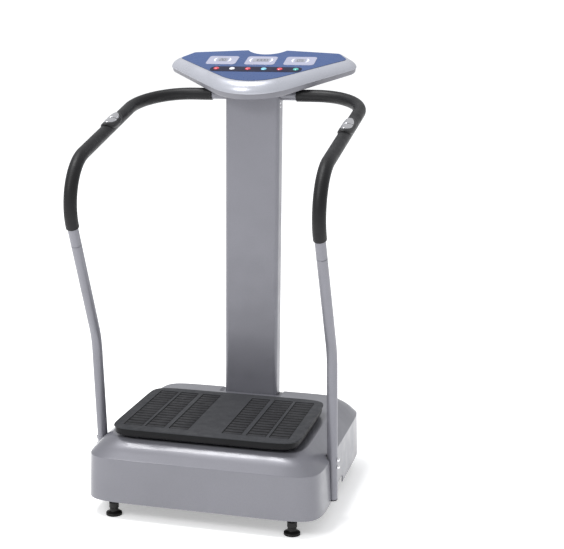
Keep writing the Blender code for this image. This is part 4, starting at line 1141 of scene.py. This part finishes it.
def underside_ring(rise, grow):
    """The lower shell's outline at a height above its sloping underside."""
    outline = console_outline(1, grow)
    return [Vector((p.x, p.y, UNDERSIDE_N + rise + UNDERSIDE_SLOPE * p.y)) for p in outline]


def parting_ring(grow, rise=0.0):
    """The line between the two shells, which drops toward the front, or one at a height above it."""
    outline = console_outline(1, grow)
    return [Vector((p.x, p.y, rise + RIM_SLOPE * p.y - RIM_DROP)) for p in outline]


def rim_ring(share):
    """A ring of the rolled rim, from the panel's edge at 0 to the parting line at 1."""
    turn = share * math.pi / 2
    out = math.sin(turn) ** (2 / RIM_POWER)
    fall = 1 - math.cos(turn) ** (2 / RIM_POWER)
    return [Vector((p.x, p.y, fall * (RIM_SLOPE * p.y - RIM_DROP))) for p in console_outline(out)]


def window_places():
    return [(k * WINDOW_PITCH, WINDOW_S, word) for k, word in ((-1, "left"), (0, "middle"), (1, "right"))]


def window_outline(x, s, grow, radius=0.010):
    return rounded_rectangle(WINDOW_HALF[0] + grow, WINDOW_HALF[1] + grow, radius, x, s)


def button_places():
    return [((k - 2.5) * BUTTON_PITCH, 0.0) for k in range(6)]


def build_upper_shell():
    rings = [console_ring(0.0, 0.0, -0.010)]
    rings += [rim_ring(k / RIM_STEPS) for k in range(RIM_STEPS + 1)]
    upper = ring_mesh(list(reversed(rings)))
    hollow = [
        parting_ring(-WALL, -0.004),
        parting_ring(-WALL),
        console_ring(0.62, -0.0125, -WALL * 0.8),
        console_ring(0, -WALL, -0.001),
    ]
    tools = [ring_mesh(hollow)] + [prism(hole, -0.012, 0.01) for hole in button_holes()]
    shell = moved(cut(upper, tools), CONSOLE)
    node = "console_upper_shell"
    flatten(piece("console_top", shell, "console_silver", replaces=[node], sharp=40))


def build_lower_shell():
    rings = [parting_ring(-0.0026, -GAP), parting_ring(-0.0016, -GAP - 0.0008)]
    for k in range(9):
        turn = k / 8 * math.pi / 2
        rise = 0.008 * (1 - math.sin(turn))
        rings.append(underside_ring(rise, -0.003 - 0.009 * (1 - math.cos(turn))))
    hollow = [
        underside_ring(WALL, -0.016),
        underside_ring(0.0048, -0.0105),
        underside_ring(0.0090, -0.0065),
        parting_ring(-0.0048, 0.004),
    ]
    outline = rounded_rectangle(COLUMN_HALF[0] + GAP, COLUMN_HALF[1] + GAP, COLUMN_CORNER, 0, CROSS.y)
    socket = moved(prism(outline, 1.09, 1.17), CONSOLE.inverted())
    shell = moved(cut(ring_mesh(rings), [ring_mesh(hollow), socket]), CONSOLE)
    node = "console_lower_shell"
    flatten(piece("console_base", shell, "console_grey", replaces=[node], sharp=40))


def seven_segments(digit, x, s, n):
    """A plain seven-segment digit, as thin bars."""
    lit = {"0": "abcdef", "1": "bc", "2": "abged", "5": "afgcd"}[digit]
    w = DIGIT_HEIGHT * 0.25
    h = DIGIT_HEIGHT / 4
    thick = DIGIT_HEIGHT * 0.07
    shrink = thick * 0.35
    bars = {
        "a": (0, 2 * h, w, thick),
        "g": (0, 0, w, thick),
        "d": (0, -2 * h, w, thick),
        "b": (w, h, thick, h),
        "c": (w, -h, thick, h),
        "e": (-w, -h, thick, h),
        "f": (-w, h, thick, h),
    }
    meshes = []
    for bar in lit:
        dx, ds, half_x, half_s = bars[bar]
        reach = Vector((half_x - shrink, half_s - shrink, 0.0001))
        centre = Vector((x + dx, s + ds, n + 0.0001))
        meshes.append(box_mesh(centre - reach, centre + reach))
    return meshes


def bracket(x, s, way, half_height, n):
    """A crescent beside a display."""
    outline = []
    steps = 12
    for bulge, turn in ((1.0, 1), (0.35, -1)):
        for k in range(steps + 1):
            part = turn * (2 * k / steps - 1)
            reach = way * bulge * 0.0085 * (1 - part * part)
            outline.append(Vector((x + reach, s + part * half_height)))
    if way < 0:
        outline.reverse()
    return slab([outline], n, n + 0.0003)


def build_display(x, s, word, digits, half):
    """A silver pane with a liquid-crystal glass of the given half width, digits and brackets."""

    def on_pane(name, mesh, finish=None, replaces=()):
        mesh = moved(mesh, CONSOLE)
        return piece(f"display_{name}_{word}", mesh, "window_silver", finish, replaces=replaces)

    rings = [lift(window_outline(x, s, 0), GAP), lift(window_outline(x, s, 0), 0.0014)]
    rings.append(lift(window_outline(x, s, -0.0006, 0.0094), PANE_TOP))
    flatten(on_pane("pane", ring_mesh(rings), replaces=["display_window_" + word]))
    centre = s + 0.002
    glass = rounded_rectangle(half, 0.0120, 0.0012, x, centre, 3)
    on_pane("glass", prism(glass, PANE_TOP, GLASS_TOP), "lcd")
    bars = []
    for k, digit in enumerate(digits):
        place = x + (k - (len(digits) - 1) / 2) * DIGIT_PITCH
        bars += seven_segments(digit, place, centre, GLASS_TOP)
    on_pane("digits", joined(bars), "print_dark")
    curves = [bracket(x + way * (half + 0.003), centre, way, 0.0165, PANE_TOP) for way in (-1, 1)]
    on_pane("brackets", joined(curves), "print_white")


def build_displays():
    digits = {"left": "20", "middle": "1000", "right": "05"}
    for x, s, word in window_places():
        build_display(x, s, word, digits[word], 0.0245 if word == "middle" else 0.015)


def button_holes():
    return [circle(x, s, BUTTON_RADIUS + 0.0007) for x, s in button_places()]


def build_panel():
    """The overlay, the dark strip round the buttons and the buttons themselves."""
    holes = button_holes()
    windows = [window_outline(x, s, GAP) for x, s, _ in window_places()]
    sheet = slab([console_outline(0, -0.0004)] + holes + windows, GAP, SHEET_TOP)
    piece("overlay_sheet", moved(sheet, CONSOLE), "blue_overlay", replaces=["panel_overlay"])
    outline = rounded_rectangle(0.138, 0.0195, 0.016, 0, -0.0035)
    strip = slab([outline] + holes, SHEET_TOP, SHEET_TOP + GAP)
    piece("button_strip", moved(strip, CONSOLE), "blue_overlay", "print_navy")
    cap = BUTTON_RADIUS
    profile = smooth_profile([
        (0, 0.0040, 0), (cap * 0.70, 0.0036, 0.006), (cap, 0.0020, 0.0016), (cap, -0.0036, 0.0001),
        (FLANGE, -0.0036, 0.0002), (FLANGE, -0.0050, 0.0002), (0.0040, -0.0050, 0.0002),
        (0.0040, -0.0120, 0.0004), (0, -0.0120, 0),
    ])
    for k, (x, s) in enumerate(button_places()):
        button = f"button_{k + 1}"
        mesh = moved(turned(profile), CONSOLE @ Matrix.Translation((x, s, 0)))
        slot = "button_" + BUTTON_COLOURS[k]
        piece("cap_" + button, mesh, slot, body=button + "_cap", replaces=[button])


# ---- rear panel and inner parts


def build_rocker():
    """A rocker switch with a dished face, tilted to one side."""
    pivot = next(j for j in frame["joints"] if j["name"] == "power_switch")["pos_m"]
    half = 0.0062
    dish = [(half * (1 - k / 5), 0.0024 + 0.0014 * abs(k / 5 - 1) ** 1.5) for k in range(1, 10)]
    section = [(-half, -0.004), (half, -0.004), (half, 0.0038), *dish, (-half, 0.0038)]
    rings = [[Vector((x, y, z)) for z, y in section] for x in (-0.0095, 0.0095)]
    place = Matrix.Translation(pivot) @ Matrix.Rotation(math.radians(8), 4, "X")
    mesh = moved(ring_mesh(rings), place)
    cap = piece("rocker_cap", mesh, "switch_red", body="power_rocker", replaces=["rocker_switch"])
    soften(cap, 0.0006)


def dress_inner_parts():
    """Materials, and softened edges, for the CAD pieces that stay as they are."""
    dressed = {
        "black_steel": "base_frame plate_carrier",
        "cast_metal": "motor driven_pulley bearing_block_left bearing_block_right "
                      "connecting_rod_left connecting_rod_right",
        "bright_steel": "eccentric_shaft motor_pulley pivot_shaft pivot_bearing_front "
                        "pivot_bearing_rear",
        "belt_rubber": "drive_belt control_cable",
        "black_plastic": "control_box power_inlet",
        "circuit_board": "control_board",
    }
    for finish, nodes in dressed.items():
        for node in nodes.split():
            made = frame["nodes"][node]
            made.data.materials.clear()
            made.data.materials.append(FINISHES[finish])
            soften(made, 0.0004)


# ---- studio


FLOOR_HALF = 2000


def build_world():
    """Soft light from all round, and a white backdrop where the camera sees past the floor."""
    world = bpy.data.worlds.new("studio")
    world.use_nodes = True
    tree = world.node_tree
    soft = tree.nodes["Background"]
    soft.inputs["Color"].default_value = (0.97, 0.98, 1.0, 1)
    soft.inputs["Strength"].default_value = 0.72
    white = tree.nodes.new("ShaderNodeBackground")
    white.inputs["Strength"].default_value = 1.7
    seen = tree.nodes.new("ShaderNodeLightPath")
    mix = tree.nodes.new("ShaderNodeMixShader")
    tree.links.new(seen.outputs["Is Camera Ray"], mix.inputs["Fac"])
    tree.links.new(soft.outputs["Background"], mix.inputs[1])
    tree.links.new(white.outputs["Background"], mix.inputs[2])
    tree.links.new(mix.outputs["Shader"], tree.nodes["World Output"].inputs["Surface"])
    bpy.context.scene.world = world


def aimed(name, data, place, back):
    """A lamp or camera at a place, looking against the given direction."""
    made = add_object(name, data)
    made.location = place
    made.rotation_mode = "QUATERNION"
    made.rotation_quaternion = (-back).to_track_quat("-Z", "Y")
    return made


def build_studio():
    bm = bmesh.new()
    bmesh.ops.create_grid(bm, x_segments=1, y_segments=1, size=FLOOR_HALF)
    floor = add_object("floor", to_mesh(bm))
    floor.data.materials.append(floor_paper())
    build_world()
    aim = Vector((0, PLATE_Y, 0.3))
    lamps = (
        ("key", (-3.5, -6.0, 6.0), 2.5, 220),
        ("top", (-2.0, -0.5, 8.0), 2.6, 380),
    )
    for name, place, size, power in lamps:
        light = bpy.data.lights.new(name, "AREA")
        light.shape = "SQUARE"
        light.size = size
        light.energy = power
        aimed(name, light, place, Vector(place) - aim)
    bpy.context.scene.view_settings.view_transform = "Standard"


def build_camera():
    azimuth = math.radians(16.044)
    elevation = math.radians(12.611)
    level = math.cos(elevation)
    back = Vector((math.sin(azimuth) * level, -math.cos(azimuth) * level, math.sin(elevation)))
    data = bpy.data.cameras.new("camera")
    data.lens = 82.28
    data.sensor_width = 36
    data.shift_x = 0.1078
    data.shift_y = 0.0339
    target = Vector((0, PLATE_Y, 0.6))
    bpy.context.scene.camera = aimed("camera", data, target + back * 3.561, back)


build_camera()
build_studio()
build_cover()
build_feet()
build_mat()
build_tray()
build_column()
build_handles()
build_upper_shell()
build_lower_shell()
build_panel()
build_displays()
build_rocker()
dress_inner_parts()
